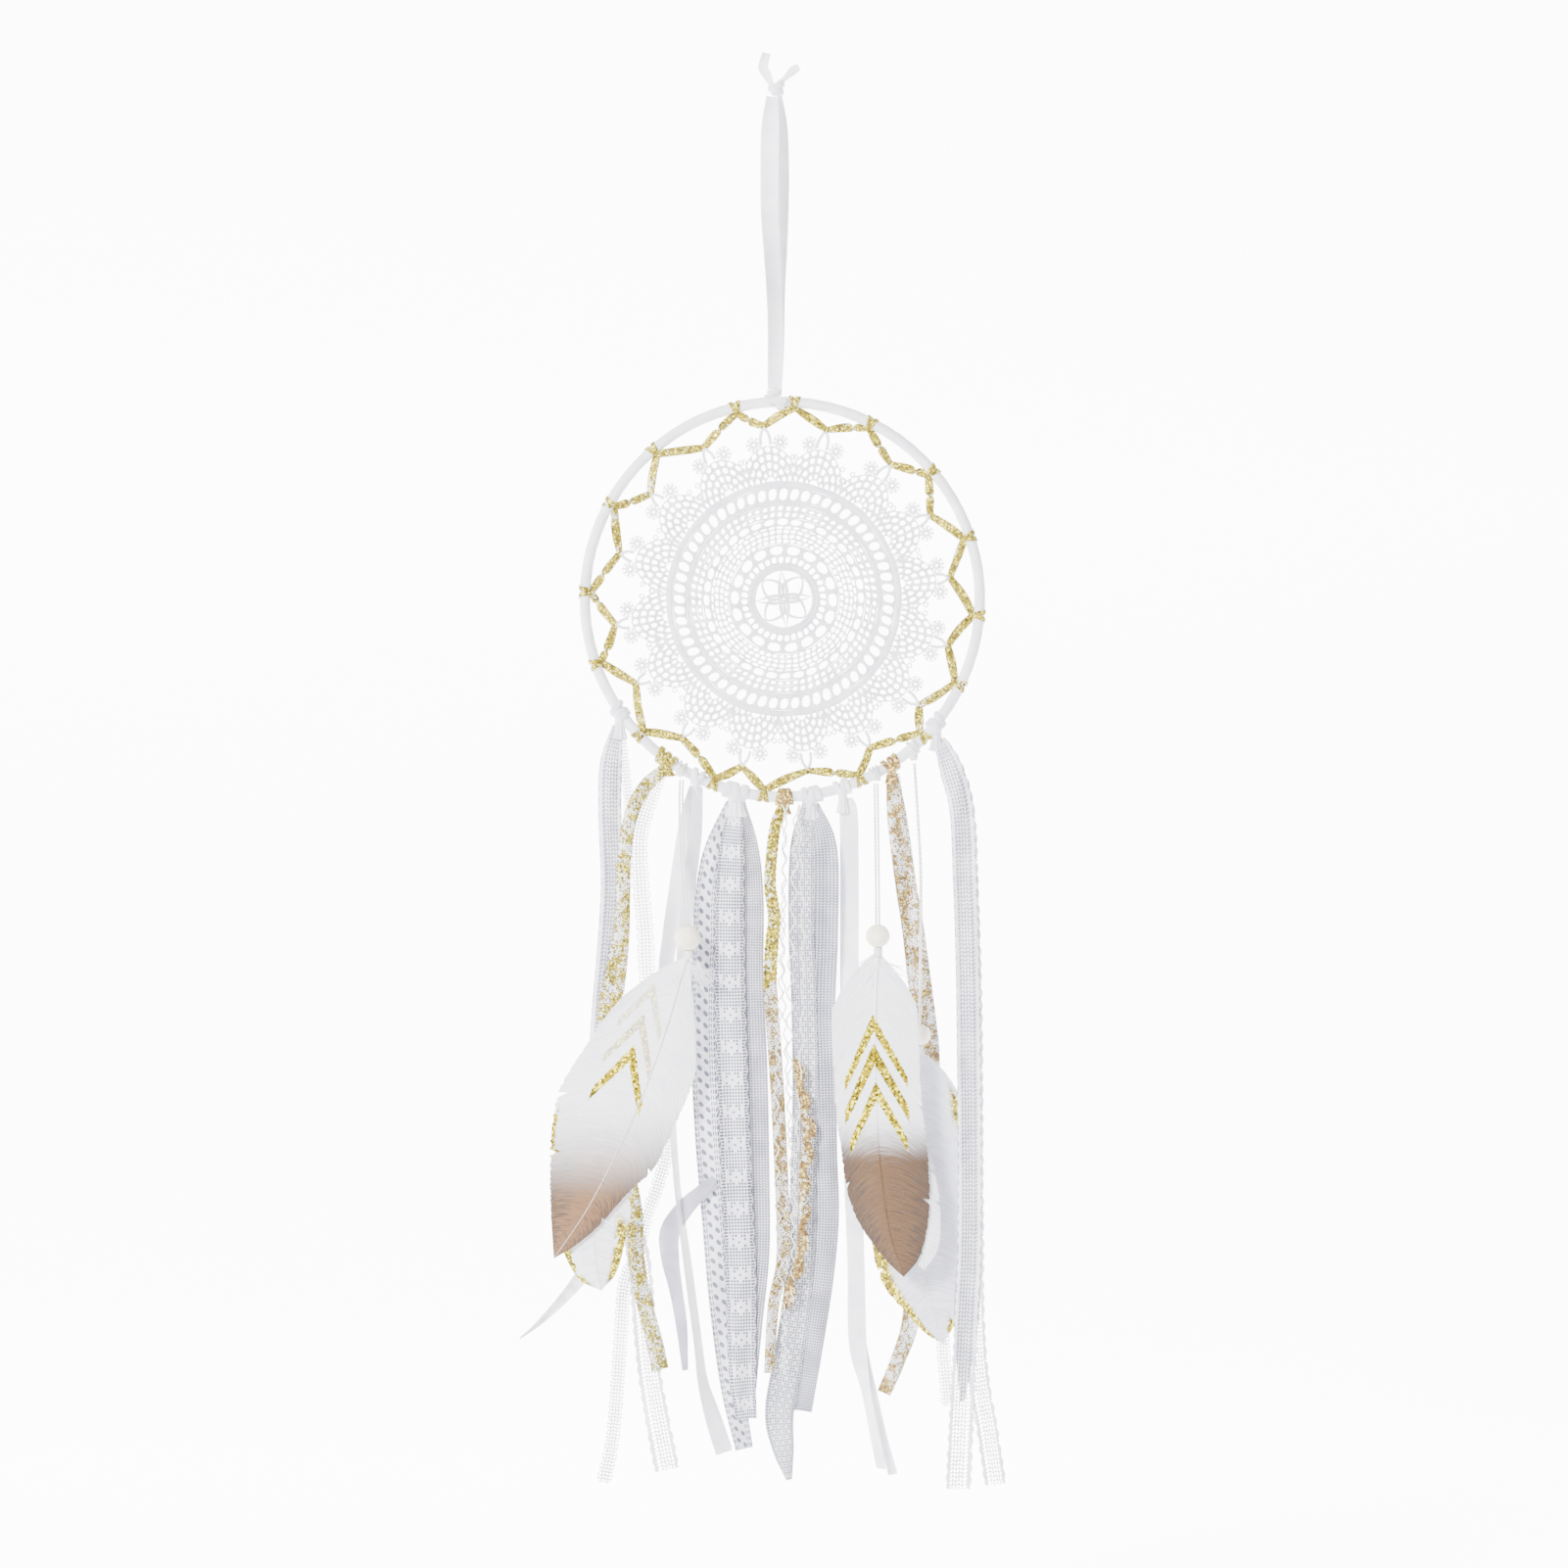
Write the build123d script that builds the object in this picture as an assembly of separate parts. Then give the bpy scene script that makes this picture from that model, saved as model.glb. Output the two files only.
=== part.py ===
from build123d import *
import math
import os

# A hanging dream catcher: a ribbon loop, a wrapped hoop laced to a crochet doily,
# and twelve knots along the lower half of the hoop from which laces, ribbons,
# gold trims and three feather pendants hang.
# Millimetres. Origin at the hanging point, just under the top knot of the ribbon loop.
# +Z is up, +X is to the viewer's right and -Y is towards the viewer.

# ---- driving dimensions -------------------------------------------------------------
HOOP_OUTER = 200.0  # outside diameter of the wrapped hoop
TUBE_R = 2.6  # wrapped hoop, section radius
WIRE_R = 1.6  # steel wire inside the wrap
HOOP_X = 4.3
HOOP_Z = -248.8
HITCH_ANGLE = 92.2  # where the hanging ribbon grips the hoop
DOILY_R = 76.0
DOILY_T = 1.2
SCALLOPS = 18
SCALLOP_R = 8.0
EAR_ROOT = 66.0  # where the lacing ears start, inside the scallops
EAR_W = 3.0
LACE_W = 3.2  # lacing ribbon, twisted
LACE_T = 1.0
CLOTH = 0.6  # thickness of ribbons and laces
FEATHER = 0.8
RIBBON_W = 9.2  # satin ribbon of the hanging loop
FIT = 0.05  # running clearance of the hitch on the hoop
CORD_R = 0.65
THICK_CORD_R = 0.9
BEAD_GAP = 0.3

hoop_r = HOOP_OUTER / 2 - TUBE_R

# Lacing: the angles where it goes round the hoop, and the doily eyes (angle, radius).
RING_ANGLES = [103.8, 86.5, 63.3, 40.5, 18.4, 355.3, 334.2, 315.8]
RING_ANGLES += [293.4, 264.5, 249.6, 223.5, 199.1, 177.8, 151.1, 130.9]
EYES = [(96.2, 85.5), (75.4, 86.0), (51.2, 85.0), (29.7, 83.5), (7.5, 83.0), (344.4, 84.3)]
EYES += [(322.2, 85.0), (300.5, 84.7), (278.5, 85.0), (256.3, 84.5), (234.1, 84.1)]
EYES += [(210.0, 83.1), (188.8, 83.0), (164.2, 83.0), (141.4, 83.0), (117.5, 83.8)]

# Knots on the hoop: angle, width along the hoop, length of the gather below the wire.
KNOTS = {
    "far_left_lace_knot": (214.6, 8.0, 10.0),
    "left_gold_knot": (233.8, 10.0, 9.0),
    "left_satin_knot": (244.4, 5.6, 8.0),
    "left_lace_knot": (256.4, 12.0, 9.0),
    "centre_gold_knot": (270.6, 8.0, 8.0),
    "right_lace_knot": (278.4, 10.0, 9.0),
    "right_satin_knot": (287.8, 7.2, 9.0),
    "right_gold_knot": (303.6, 7.6, 9.0),
    "far_right_lace_knot": (321.2, 8.0, 10.0),
}
# Cord knots: angle, how far in front of the hoop the cord leaves, how far below it.
CORD_KNOTS = {
    "left_cord_knot": (239.2, 5.0, 1.5),
    "right_cord_knot": (298.2, 5.0, 1.5),
    "small_cord_knot": (311.6, 0.0, 4.5),
}

# Hanging strips: depth in Y, then the middle line as (x, z, width) from the knot down.
STRIPS = {
    "far_left_lace": (3.0, [
        (-77.5, -316.5, 7), (-80.5, -330, 11), (-81, -354, 11.5), (-80, -388, 11), (-81.5, -417, 11),
        (-86, -475, 10.5), (-82, -513, 11), (-73, -547, 11.5), (-66.5, -576, 12), (-64, -605, 12),
        (-61.5, -630, 12), (-57.5, -654, 12.5), (-52.7, -679, 13)]),
    "far_left_thin_ribbon": (3.8, [
        (-74, -316.5, 3), (-73, -335, 5), (-71.5, -354, 5), (-72.5, -388, 4.5), (-75.5, -436, 4.5),
        (-77, -485, 4)]),
    "left_gold_lace": (1.4, [
        (-58, -341.5, 6), (-65, -347, 7), (-70.5, -357, 7), (-74, -378, 7), (-75, -412, 8),
        (-78.5, -436, 11), (-82, -458, 10), (-80, -494, 7.5), (-72.5, -528, 7), (-68.6, -552, 8),
        (-67.6, -576, 8), (-63.8, -596, 8), (-59, -615, 8.5), (-56, -629, 8.5)]),
    "left_eyelet_lace": (2.2, [
        (-56.5, -339.5, 6), (-61.5, -349, 8), (-66, -366, 8), (-65.5, -390, 8.5), (-63.5, -412, 8.5),
        (-62.3, -436, 8.5), (-57, -480, 7), (-53.1, -518, 6.5), (-57.5, -539, 6.5), (-63, -554, 6.5),
        (-67, -571, 6.5), (-73.4, -586, 7), (-75.8, -616, 7), (-77.3, -638, 7), (-79.7, -664, 7),
        (-84, -685, 7.5)]),
    "left_satin_ribbon": (-4.4, [
        (-39.2, -347, 5), (-42.5, -360, 8.5), (-48.3, -398, 8.5), (-51.2, -417, 7.7), (-53, -436, 7),
        (-51.2, -484.5, 4), (-47.8, -533, 3), (-44.9, -557, 3.4), (-41, -586, 4), (-37.2, -615, 4),
        (-34.8, -634, 5), (-30, -651, 7.7), (-24.2, -669, 8.7)]),
    "left_satin_short": (-5.2, [
        (-37.4, -347, 4), (-38.2, -364, 5.8), (-41.5, -388, 6.8), (-43.5, -412, 6.8),
        (-45.4, -441, 6.8)]),
    "left_organza": (-3.6, [
        (-30, -535.3, 5.8), (-43.5, -547.4, 7.7), (-53, -564.3, 11.6), (-48.3, -586, 6.8),
        (-45.4, -605, 5.8), (-43.5, -628.5, 3)]),
    "left_flower_lace": (-1.0, [
        (-18.7, -355.2, 6), (-20.8, -373, 12.5), (-21.7, -397, 14.5), (-21.7, -436, 15.5),
        (-20.3, -484.5, 15.5), (-18.4, -533, 15.5), (-16.4, -581, 15.5), (-15.5, -629, 13.5),
        (-13.5, -653, 10.6)]),
    "left_hole_lace": (-0.2, [
        (-21.5, -355.2, 6), (-29, -373, 10.5), (-32.9, -393, 11.6), (-33.8, -417, 12.6),
        (-34.8, -460, 12.6), (-32.9, -509, 12.6), (-29, -557, 12.6), (-25.6, -596, 12.6),
        (-20.3, -638, 11.6), (-14.5, -668, 8.7)]),
    "left_net_lace": (0.6, [
        (-17, -355.2, 6), (-12.6, -373, 10.6), (-11.1, -398, 12.6), (-11.6, -436, 13.5),
        (-10.1, -484.5, 14.5), (-9.2, -533, 14.5), (-8.7, -571, 13.5), (-11.6, -605, 12.6),
        (-13.5, -639, 9.7)]),
    "centre_sequin_trim": (-6.6, [
        (4.9, -355.5, 5.5), (0.6, -364, 6), (-1.4, -388, 6.3), (-0.5, -417, 7.2), (-1.9, -441, 6.8)]),
    "centre_lurex_braid": (-6.6, [
        (-1.9, -442.5, 6.8), (1.4, -484.5, 6.8), (3.4, -523, 6.8), (4.8, -571, 6.8), (0, -596, 5.8),
        (-2.4, -629.5, 4.8)]),
    "centre_wave_braid": (-7.4, [
        (10.6, -475, 4.8), (13.5, -494, 5.8), (16.4, -513.5, 6.8), (14, -530, 5.8), (14, -552, 5.8),
        (12.6, -571.5, 5.8), (7.7, -586, 5.8), (5.3, -598, 4.8)]),
    "right_scallop_lace": (-2.8, [
        (16.5, -355.6, 6), (13.8, -373, 11.6), (13.5, -412, 12.6), (14.5, -436, 12.6),
        (15.5, -484.5, 12.6), (14.5, -533, 12.6), (12.6, -581, 13.5), (7.7, -620, 14.5),
        (2.9, -649, 14.5), (4.8, -668, 10.6), (7.7, -682.6, 3)]),
    "right_tulle": (-2.0, [
        (19.4, -355.6, 7), (23.2, -373, 16.4), (23.2, -412, 17.4), (22.2, -451, 16.4),
        (23.2, -484.5, 15.5), (24.2, -523, 14.5), (25.1, -552, 14.5), (23.2, -581, 13.5),
        (19.3, -610, 12.6), (14.5, -649, 8.7)]),
    "right_satin_ribbon": (1.4, [
        (35.6, -352.1, 7), (37.2, -361, 9.2), (37.4, -437, 9.2), (37.7, -484.5, 8.7), (39.1, -533, 8.7),
        (40.6, -576, 8.4), (41.5, -616, 8.8), (45.4, -639, 4.8), (49.3, -658.5, 4.8),
        (53.1, -678, 4.8)]),
    "right_satin_tail": (2.2, [
        (42.5, -610, 4.8), (45, -624, 4.8), (49.8, -644, 4.3), (54.1, -663, 4.3), (58.9, -681, 4.8)]),
    "right_gold_lace": (7.0, [
        (58.6, -340.3, 7), (61.3, -361, 10), (65.2, -388, 10.6), (69, -412, 11), (72, -436, 11.6),
        (74.9, -458, 11.6), (77, -478, 10.6), (75.4, -513, 9.7), (70.5, -562, 8.7), (68, -604, 8.7),
        (61.8, -624.6, 7.7), (54.6, -641.6, 6.8)]),
    "right_dotted_lace": (7.8, [
        (60.6, -340.3, 5), (66.6, -388, 6), (74.5, -436, 6), (78, -480, 6), (79.7, -533, 6),
        (82, -581, 6.8), (84, -619, 6.8), (86.5, -648, 6.8)]),
    "far_right_lace": (-4.4, [
        (82, -324.4, 7), (87.5, -334, 11.5), (92.5, -353, 12), (94.2, -388, 12), (95.2, -416, 12),
        (96, -458, 12), (96.6, -557, 12), (94.7, -605, 12), (92.8, -644, 12.6), (90.8, -687, 13)]),
    "far_right_under_lace": (-3.6, [
        (83, -324.4, 6), (88.5, -334, 11), (93.6, -353, 11.5), (95.4, -388, 11.5), (97.4, -458, 11.5),
        (98, -557, 11.5), (98.2, -596, 11.5), (100.5, -629.5, 11), (105.3, -658.5, 11),
        (109.2, -685, 11)]),
}

# Feathers: depth in Y, quill top, then the left and right edges down to the tip.
FEATHERS = {
    "left_front_feather": (-12.4, (-41.8, -423.5), [
        (-44, -425.5), (-55.5, -430), (-67, -437.5), (-80, -451), (-91, -466.2), (-101.5, -482),
        (-107, -494.7), (-109.7, -510), (-110, -530), (-109.2, -552), (-107.7, -572.5)], [
        (-40.5, -425.5), (-39.2, -445), (-38.2, -465), (-38.2, -481), (-41.5, -492), (-48.3, -508),
        (-52.7, -517.4), (-59.4, -530), (-71.5, -541), (-86, -557), (-96.6, -565.7),
        (-107.7, -572.5)]),
    "left_back_feather": (-10.2, (-41.9, -424), [
        (-44.5, -428.5), (-66, -446), (-90, -475), (-104, -498), (-108.5, -530), (-105.3, -562),
        (-96.6, -582), (-84.5, -588.5)], [
        (-42.4, -428.5), (-50, -452), (-60, -480), (-67, -508), (-70, -547), (-76, -577),
        (-84.5, -588.5)]),
    "right_front_feather": (-10.4, (51.2, -421.9), [
        (50, -424), (41, -429), (32.4, -438.7), (28.6, -453.6), (29.5, -481), (30.4, -500),
        (33.3, -523), (36.2, -541), (41.5, -555), (49, -566), (57, -575.5), (63.8, -581.7)], [
        (52.4, -424), (57.5, -429.5), (64.5, -437), (69.6, -445), (71, -462), (72.5, -490),
        (74.4, -508), (76.4, -528), (76.8, -545), (75.2, -560), (71.2, -573), (63.8, -581.7)]),
    "right_back_feather": (-8.2, (51.6, -422.5), [
        (51.6, -427), (47, -450), (46, -480), (52, -520), (58, -550), (66, -571), (74, -578.5)], [
        (53.6, -427), (62, -450), (70, -480), (76, -515), (81, -540), (82.2, -556), (80.5, -569),
        (74, -578.5)]),
    "small_feather": (3.4, (72.2, -471), [
        (71, -473), (63, -478), (53.5, -494), (48.5, -530), (47.8, -562.8), (53.6, -587),
        (66.2, -602), (75, -611.5), (84.1, -616.4)], [
        (73.2, -473), (80, -477.5), (89.4, -487), (94, -508.7), (96.6, -557), (94.2, -595.7),
        (84.1, -616.4)]),
}


def at_angle(angle, radius=hoop_r):
    """A point in the hoop's plane at an angle round its centre, from +X up."""
    turn = math.radians(angle)
    return Vector(HOOP_X + radius * math.cos(turn), 0, HOOP_Z + radius * math.sin(turn))


def tangent(angle):
    """The direction of the hoop's wire at an angle."""
    turn = math.radians(angle)
    return Vector(math.sin(turn), 0, -math.cos(turn))


def on_wire(angle, shape):
    """Place a shape whose axis is Z on the hoop, with the axis along the wire."""
    return Plane(origin=at_angle(angle), x_dir=(0, 1, 0), z_dir=tangent(angle)) * shape


def ring(radius, section):
    """A torus in the hoop's plane."""
    plane = Plane(origin=(HOOP_X, 0, HOOP_Z), x_dir=(1, 0, 0), z_dir=(0, -1, 0))
    return plane * Torus(radius, section)


def sheet(left, right, depth, thickness):
    """A flat piece between two edges given as (x, z) points, centred on a depth in Y."""
    front = depth - thickness / 2
    a = [Vector(x, front, z) for x, z in left]
    b = [Vector(x, front, z) for x, z in right]
    edges = [Spline(*a), Spline(*b), Line(a[0], b[0])]
    if (a[-1] - b[-1]).length > 0.01:
        edges.append(Line(a[-1], b[-1]))
    return extrude(Face(Wire(edges)), amount=thickness, dir=(0, 1, 0))


def strip(middle, depth, thickness=CLOTH):
    """A hanging strip from its middle line and width at each point."""
    left = []
    right = []
    for n, (x, z, width) in enumerate(middle):
        before = middle[max(n - 1, 0)]
        after = middle[min(n + 1, len(middle) - 1)]
        run = Vector(after[0] - before[0], after[1] - before[1], 0).normalized()
        left.append((x + run.Y * width / 2, z - run.X * width / 2))
        right.append((x - run.Y * width / 2, z + run.X * width / 2))
    return sheet(left, right, depth, thickness)


def feather(depth, quill, left, right):
    """A flat vane with a round quill along its upper part."""
    vane = sheet(left, right, depth, FEATHER)
    top = Vector(quill[0], depth, quill[1])
    middle = Vector((left[2][0] + right[2][0]) / 2, depth, (left[2][1] + right[2][1]) / 2)
    along = (middle - top).normalized()
    rod = Plane(origin=top, z_dir=along) * Cylinder(
        0.9, 18, align=(Align.CENTER, Align.CENTER, Align.MIN)
    )
    return vane + rod


def cord(points, radius):
    """A round cord along straight runs joined by arcs as large as the runs allow."""
    route = [Vector(*p) for p in points]
    radii = []
    for before, corner, after in zip(route, route[1:], route[2:]):
        turn = math.radians((corner - before).get_angle(after - corner))
        run = min((corner - before).length, (after - corner).length)
        radii.append(0.45 * run / math.tan(turn / 2))
    path = FilletPolyline(*route, radius=radii)
    section = Plane(origin=path @ 0, z_dir=path % 0) * Circle(radius)
    solid = sweep(section, path)
    drawn = math.pi * radius**2 * path.length
    print("cord radii", [round(r) for r in radii], "volume", round(solid.volume / drawn, 3))
    return solid


def save(shape, name):
    """Write one sub-part."""
    shape.label = name
    export_step(shape, f"parts/{name}.step")


os.makedirs("parts", exist_ok=True)

# ---- hanging loop -------------------------------------------------------------------
# Two strands of one satin ribbon, tied together at the top and hitched to the hoop below.
# Seen from the front the strands overlap; seen from the side they bow apart.
hitch_at = at_angle(HITCH_ANGLE)
strand_end = hitch_at.Z + 6.2
bow = [(0.5, -0.6), (2.6, -10), (3.2, -30), (3.2, -60), (2.6, -100), (1.5, -125), (0.6, strand_end)]
front_line = [(-0.6, -0.6), (-1.7, -18), (-2.0, -43), (-1.7, -60), (-0.5, -80), (0.9, -111)]
front_line += [(1.0, -129), (0.5, strand_end)]
back_line = [(1.4, -0.6), (2.9, -18), (3.5, -40), (2.9, -56), (2.2, -76), (1.4, -100)]
back_line += [(1.2, -124), (0.5, strand_end)]
strand_width = [6, RIBBON_W, RIBBON_W, RIBBON_W, RIBBON_W, 8.6, 8, 7]
for name, line, side in (
    ("hanger_ribbon_front", front_line, -1),
    ("hanger_ribbon_back", back_line, 1),
):
    middle = [(x, z, w) for (x, z), w in zip(line, strand_width)]
    outline = strip(middle, 0, 12)
    inner = [Vector(-20, side * y, z) for y, z in bow]
    outer = [Vector(-20, side * (y + CLOTH), z) for y, z in bow]
    profile = Wire([
        Spline(*inner), Spline(*outer), Line(inner[0], outer[0]), Line(inner[-1], outer[-1])
    ])
    save(outline & extrude(Face(profile), amount=40, dir=(1, 0, 0)), name)

knot = Pos(1.2, 0, 2.6) * Sphere(3.6)
knot += Pos(3.4, 0, 5.4) * Sphere(2.4)
save(knot, "top_knot")
left_tail = strip([(0, 4.6, 3), (-3.2, 9.5, 5.4), (-4.8, 14, 5.4), (-3.4, 21.3, 1.2)], 0.6)
right_tail = strip([(4, 6, 3), (7.5, 10, 4.6), (10, 12.2, 5), (12.6, 13.6, 3)], -0.6)
save(Compound([left_tail, right_tail]), "knot_tails")

# The hitch: both strands wrap the hoop and pass under a cross bar in front.
sag = 0.08  # the hoop's own bend within the hitch
grip_length = 10.4
grip = Cylinder(3.7, grip_length) - Cylinder(TUBE_R + sag + FIT, grip_length + 1)
hitch = Plane(origin=hitch_at - Vector(0, 0, sag), x_dir=(0, 1, 0), z_dir=tangent(HITCH_ANGLE)) * grip
bar = Pos(hitch_at.X, -4.2, hitch_at.Z + 0.6) * Box(11.4, 1.2, 3.6)
neck = Pos(hitch_at.X, 0, hitch_at.Z + 4.7) * Box(7, 2.2, 2.2)
save(hitch + bar + neck, "hoop_hitch")

# ---- hoop ---------------------------------------------------------------------------
save(ring(hoop_r, WIRE_R), "hoop_wire")
save(ring(hoop_r, TUBE_R) - ring(hoop_r, WIRE_R), "hoop_wrap")

# The doily: a scalloped crochet disc with small ears that the lacing goes through.
flat = Plane(origin=(HOOP_X, DOILY_T / 2, HOOP_Z), x_dir=(1, 0, 0), z_dir=(0, -1, 0))
disc = Circle(DOILY_R - 3)
for n in range(SCALLOPS):
    disc += Rot(0, 0, n * 360 / SCALLOPS) * Pos(DOILY_R - 5, 0) * Circle(SCALLOP_R)
for angle, radius in EYES:
    length = radius - EAR_ROOT
    disc += Rot(0, 0, angle) * Pos(EAR_ROOT + length / 2, 0) * Rectangle(length, EAR_W)
save(extrude(flat * disc, amount=DOILY_T), "doily")

# The lacing: a collar at each turn round the hoop and a leg to each doily eye beside it.
lacing = None
for n, angle in enumerate(RING_ANGLES):
    collar = Cylinder(TUBE_R + 1.0, LACE_W) - Cylinder(TUBE_R + 0.02, LACE_W + 1)
    turn = on_wire(angle, collar)
    for eye_angle, eye_radius in (EYES[n - 1], EYES[n]):
        start = at_angle(angle, hoop_r - TUBE_R - 0.6)
        end = at_angle(eye_angle, eye_radius + 0.5)
        run = end - start
        leg = Plane(origin=(start + end) / 2, x_dir=(0, 1, 0), z_dir=run.normalized())
        turn += leg * Box(LACE_T, LACE_W, run.length + 1.2)
    lacing = turn if lacing is None else lacing + turn
lacing -= ring(hoop_r, TUBE_R + 0.01)
save(lacing, "lacing")

# Knots: a wrapped collar with the gathered strip below it.
gather_bottom = {}
for name, (angle, width, drop) in KNOTS.items():
    centre = at_angle(angle)
    body = on_wire(angle, Cylinder(4.3, width))
    body += Pos(centre.X, 0, centre.Z - drop / 2) * Cone(2.0, 3.7, drop)
    save(body - ring(hoop_r, TUBE_R + 0.02), name)
    gather_bottom[name] = centre.Z - drop
for name, (angle, forward, below) in CORD_KNOTS.items():
    centre = at_angle(angle)
    body = on_wire(angle, Cylinder(3.9, 3.4))
    body += Pos(centre.X, -forward, centre.Z - below) * Sphere(2.5)
    save(body - ring(hoop_r, TUBE_R + 0.02), name)
    gather_bottom[name] = centre.Z - below
print({name: round(z, 1) for name, z in gather_bottom.items()})

# ---- strips and feathers ------------------------------------------------------------
for name, (depth, middle) in STRIPS.items():
    save(strip(middle, depth), name)
for name, (depth, quill, left, right) in FEATHERS.items():
    save(feather(depth, quill, left, right), name)

# ---- beads on their cords -----------------------------------------------------------
# Each cord leaves its knot, bends once and runs straight through the bead into the
# thread binding of the quill. Route points: knot, bend, binding.
PENDANTS = {
    "left": (6.3, 1.9, CORD_R, 0.75, [(-45.2, -6.4, -338), (-46.6, -12.4, -357), (-41.7, -12.5, -421.6)]),
    "right": (5.8, 1.9, CORD_R, 0.75, [(50.3, -6.4, -339.8), (50.7, -7.2, -357), (51.2, -10.5, -420.2)]),
    "small": (5.3, 1.6, THICK_CORD_R, 0, [
        (69.4, 0.4, -329.8), (71.6, 0.2, -362), (73.1, 0.7, -392), (72.0, 1.0, -469.2)]),
}
for name, (bead_r, bore_r, cord_r, spread, points) in PENDANTS.items():
    low = Vector(*points[-1])
    up = (Vector(*points[-2]) - low).normalized()
    aside = Vector(0, 1, 0).cross(up).normalized() * spread
    seat = math.sqrt(bead_r**2 - bore_r**2)
    bead = Sphere(bead_r) - Cylinder(bore_r, 3 * bead_r)
    save(Plane(origin=low + up * (seat + BEAD_GAP), z_dir=up) * bead, f"{name}_bead")
    cords = [cord([Vector(*p) + aside * s for p in points], cord_r) for s in ((-1, 1) if spread else (0,))]
    save(Compound(cords) if spread else cords[0], f"{name}_cords")
    wrap = Plane(origin=low, z_dir=up * -1) * Cylinder(
        2.3, 4, align=(Align.CENTER, Align.CENTER, Align.MIN)
    )
    save(wrap, f"{name}_binding")
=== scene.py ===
# %% [markdown]
# A dream catcher, piece by piece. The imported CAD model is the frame: it says where every
# knot, strip, bead and feather sits. Each cell below makes one kind of piece round it.

# %% The frame
import math
import random

import bpy
import numpy as np
from mathutils import Matrix, Vector


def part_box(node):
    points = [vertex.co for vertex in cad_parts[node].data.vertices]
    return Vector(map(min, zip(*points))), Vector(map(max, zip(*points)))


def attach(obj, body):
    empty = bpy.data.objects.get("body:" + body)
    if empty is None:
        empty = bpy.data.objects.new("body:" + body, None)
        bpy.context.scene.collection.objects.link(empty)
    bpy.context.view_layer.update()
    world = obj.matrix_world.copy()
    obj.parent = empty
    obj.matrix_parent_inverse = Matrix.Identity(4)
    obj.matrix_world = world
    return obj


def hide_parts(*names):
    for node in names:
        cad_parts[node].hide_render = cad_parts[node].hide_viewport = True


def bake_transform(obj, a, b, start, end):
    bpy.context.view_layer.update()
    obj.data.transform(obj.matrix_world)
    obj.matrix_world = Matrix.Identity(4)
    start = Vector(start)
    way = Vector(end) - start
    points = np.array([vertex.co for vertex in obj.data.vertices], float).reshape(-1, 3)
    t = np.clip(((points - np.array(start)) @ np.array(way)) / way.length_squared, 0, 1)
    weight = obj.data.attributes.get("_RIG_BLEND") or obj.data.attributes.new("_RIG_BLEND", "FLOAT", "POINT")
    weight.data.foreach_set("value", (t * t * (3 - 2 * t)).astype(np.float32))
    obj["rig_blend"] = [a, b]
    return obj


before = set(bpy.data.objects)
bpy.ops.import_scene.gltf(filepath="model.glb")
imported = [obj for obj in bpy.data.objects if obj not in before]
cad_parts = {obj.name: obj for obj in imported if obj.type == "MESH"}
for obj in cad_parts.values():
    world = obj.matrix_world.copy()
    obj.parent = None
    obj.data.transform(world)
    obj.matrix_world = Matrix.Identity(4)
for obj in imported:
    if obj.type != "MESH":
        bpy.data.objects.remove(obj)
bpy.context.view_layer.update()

MM = 0.001

# %% [markdown]
# The piece hangs in front of a seamless studio sweep. The camera stands square to it and a
# long lens keeps the hoop round. A big soft light on each side leaves only faint shadows.

# %% Camera, floor and light
AIM = Vector((0.0051, 0.0, -0.3399))
VIEW_WIDTH = 0.7735
LENS = 85.0
SENSOR = 36.0

camera = bpy.data.objects.new("camera", bpy.data.cameras.new("camera"))
bpy.context.collection.objects.link(camera)
camera.data.lens = LENS
camera.data.sensor_width = SENSOR
camera.location = AIM + Vector((0, -VIEW_WIDTH * LENS / SENSOR, 0))
camera.rotation_euler = (math.pi / 2, 0, 0)
bpy.context.scene.camera = camera


def area_light(name, place, target, size, power, colour):
    """A square soft box that looks at a point."""
    lamp = bpy.data.objects.new(name, bpy.data.lights.new(name, "AREA"))
    bpy.context.collection.objects.link(lamp)
    lamp.data.size = size
    lamp.data.energy = power
    lamp.data.color = colour
    lamp.location = place
    lamp.rotation_euler = (Vector(target) - Vector(place)).to_track_quat("-Z", "Y").to_euler()
    return lamp


def select_edges(obj, wanted):
    """In edit mode, select only the edges whose two ends pass a test."""
    bpy.ops.object.mode_set(mode="EDIT")
    bpy.ops.mesh.select_mode(type="EDGE")
    bpy.ops.mesh.select_all(action="DESELECT")
    bpy.ops.object.mode_set(mode="OBJECT")
    for edge in obj.data.edges:
        first, second = (obj.data.vertices[v].co for v in edge.vertices)
        edge.select = wanted(first, second)
    bpy.ops.object.mode_set(mode="EDIT")


area_light("key_light", (-1.3, -1.7, 0.7), AIM, 0.6, 180, (1, 1, 1))
area_light("fill_light", (1.6, -1.5, 0.0), AIM, 1.2, 13, (0.93, 0.94, 1))

FLOOR_SIZE = 6
WALL_HEIGHT = 4
CORNER_RADIUS = 0.7
GLOW_DEPTH = 0.3
world = bpy.data.worlds.new("studio")
bpy.context.scene.world = world
world.use_nodes = True
world.node_tree.nodes["Background"].inputs["Color"].default_value = (0.96, 0.97, 1, 1)
world.node_tree.nodes["Background"].inputs["Strength"].default_value = 0.85

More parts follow.
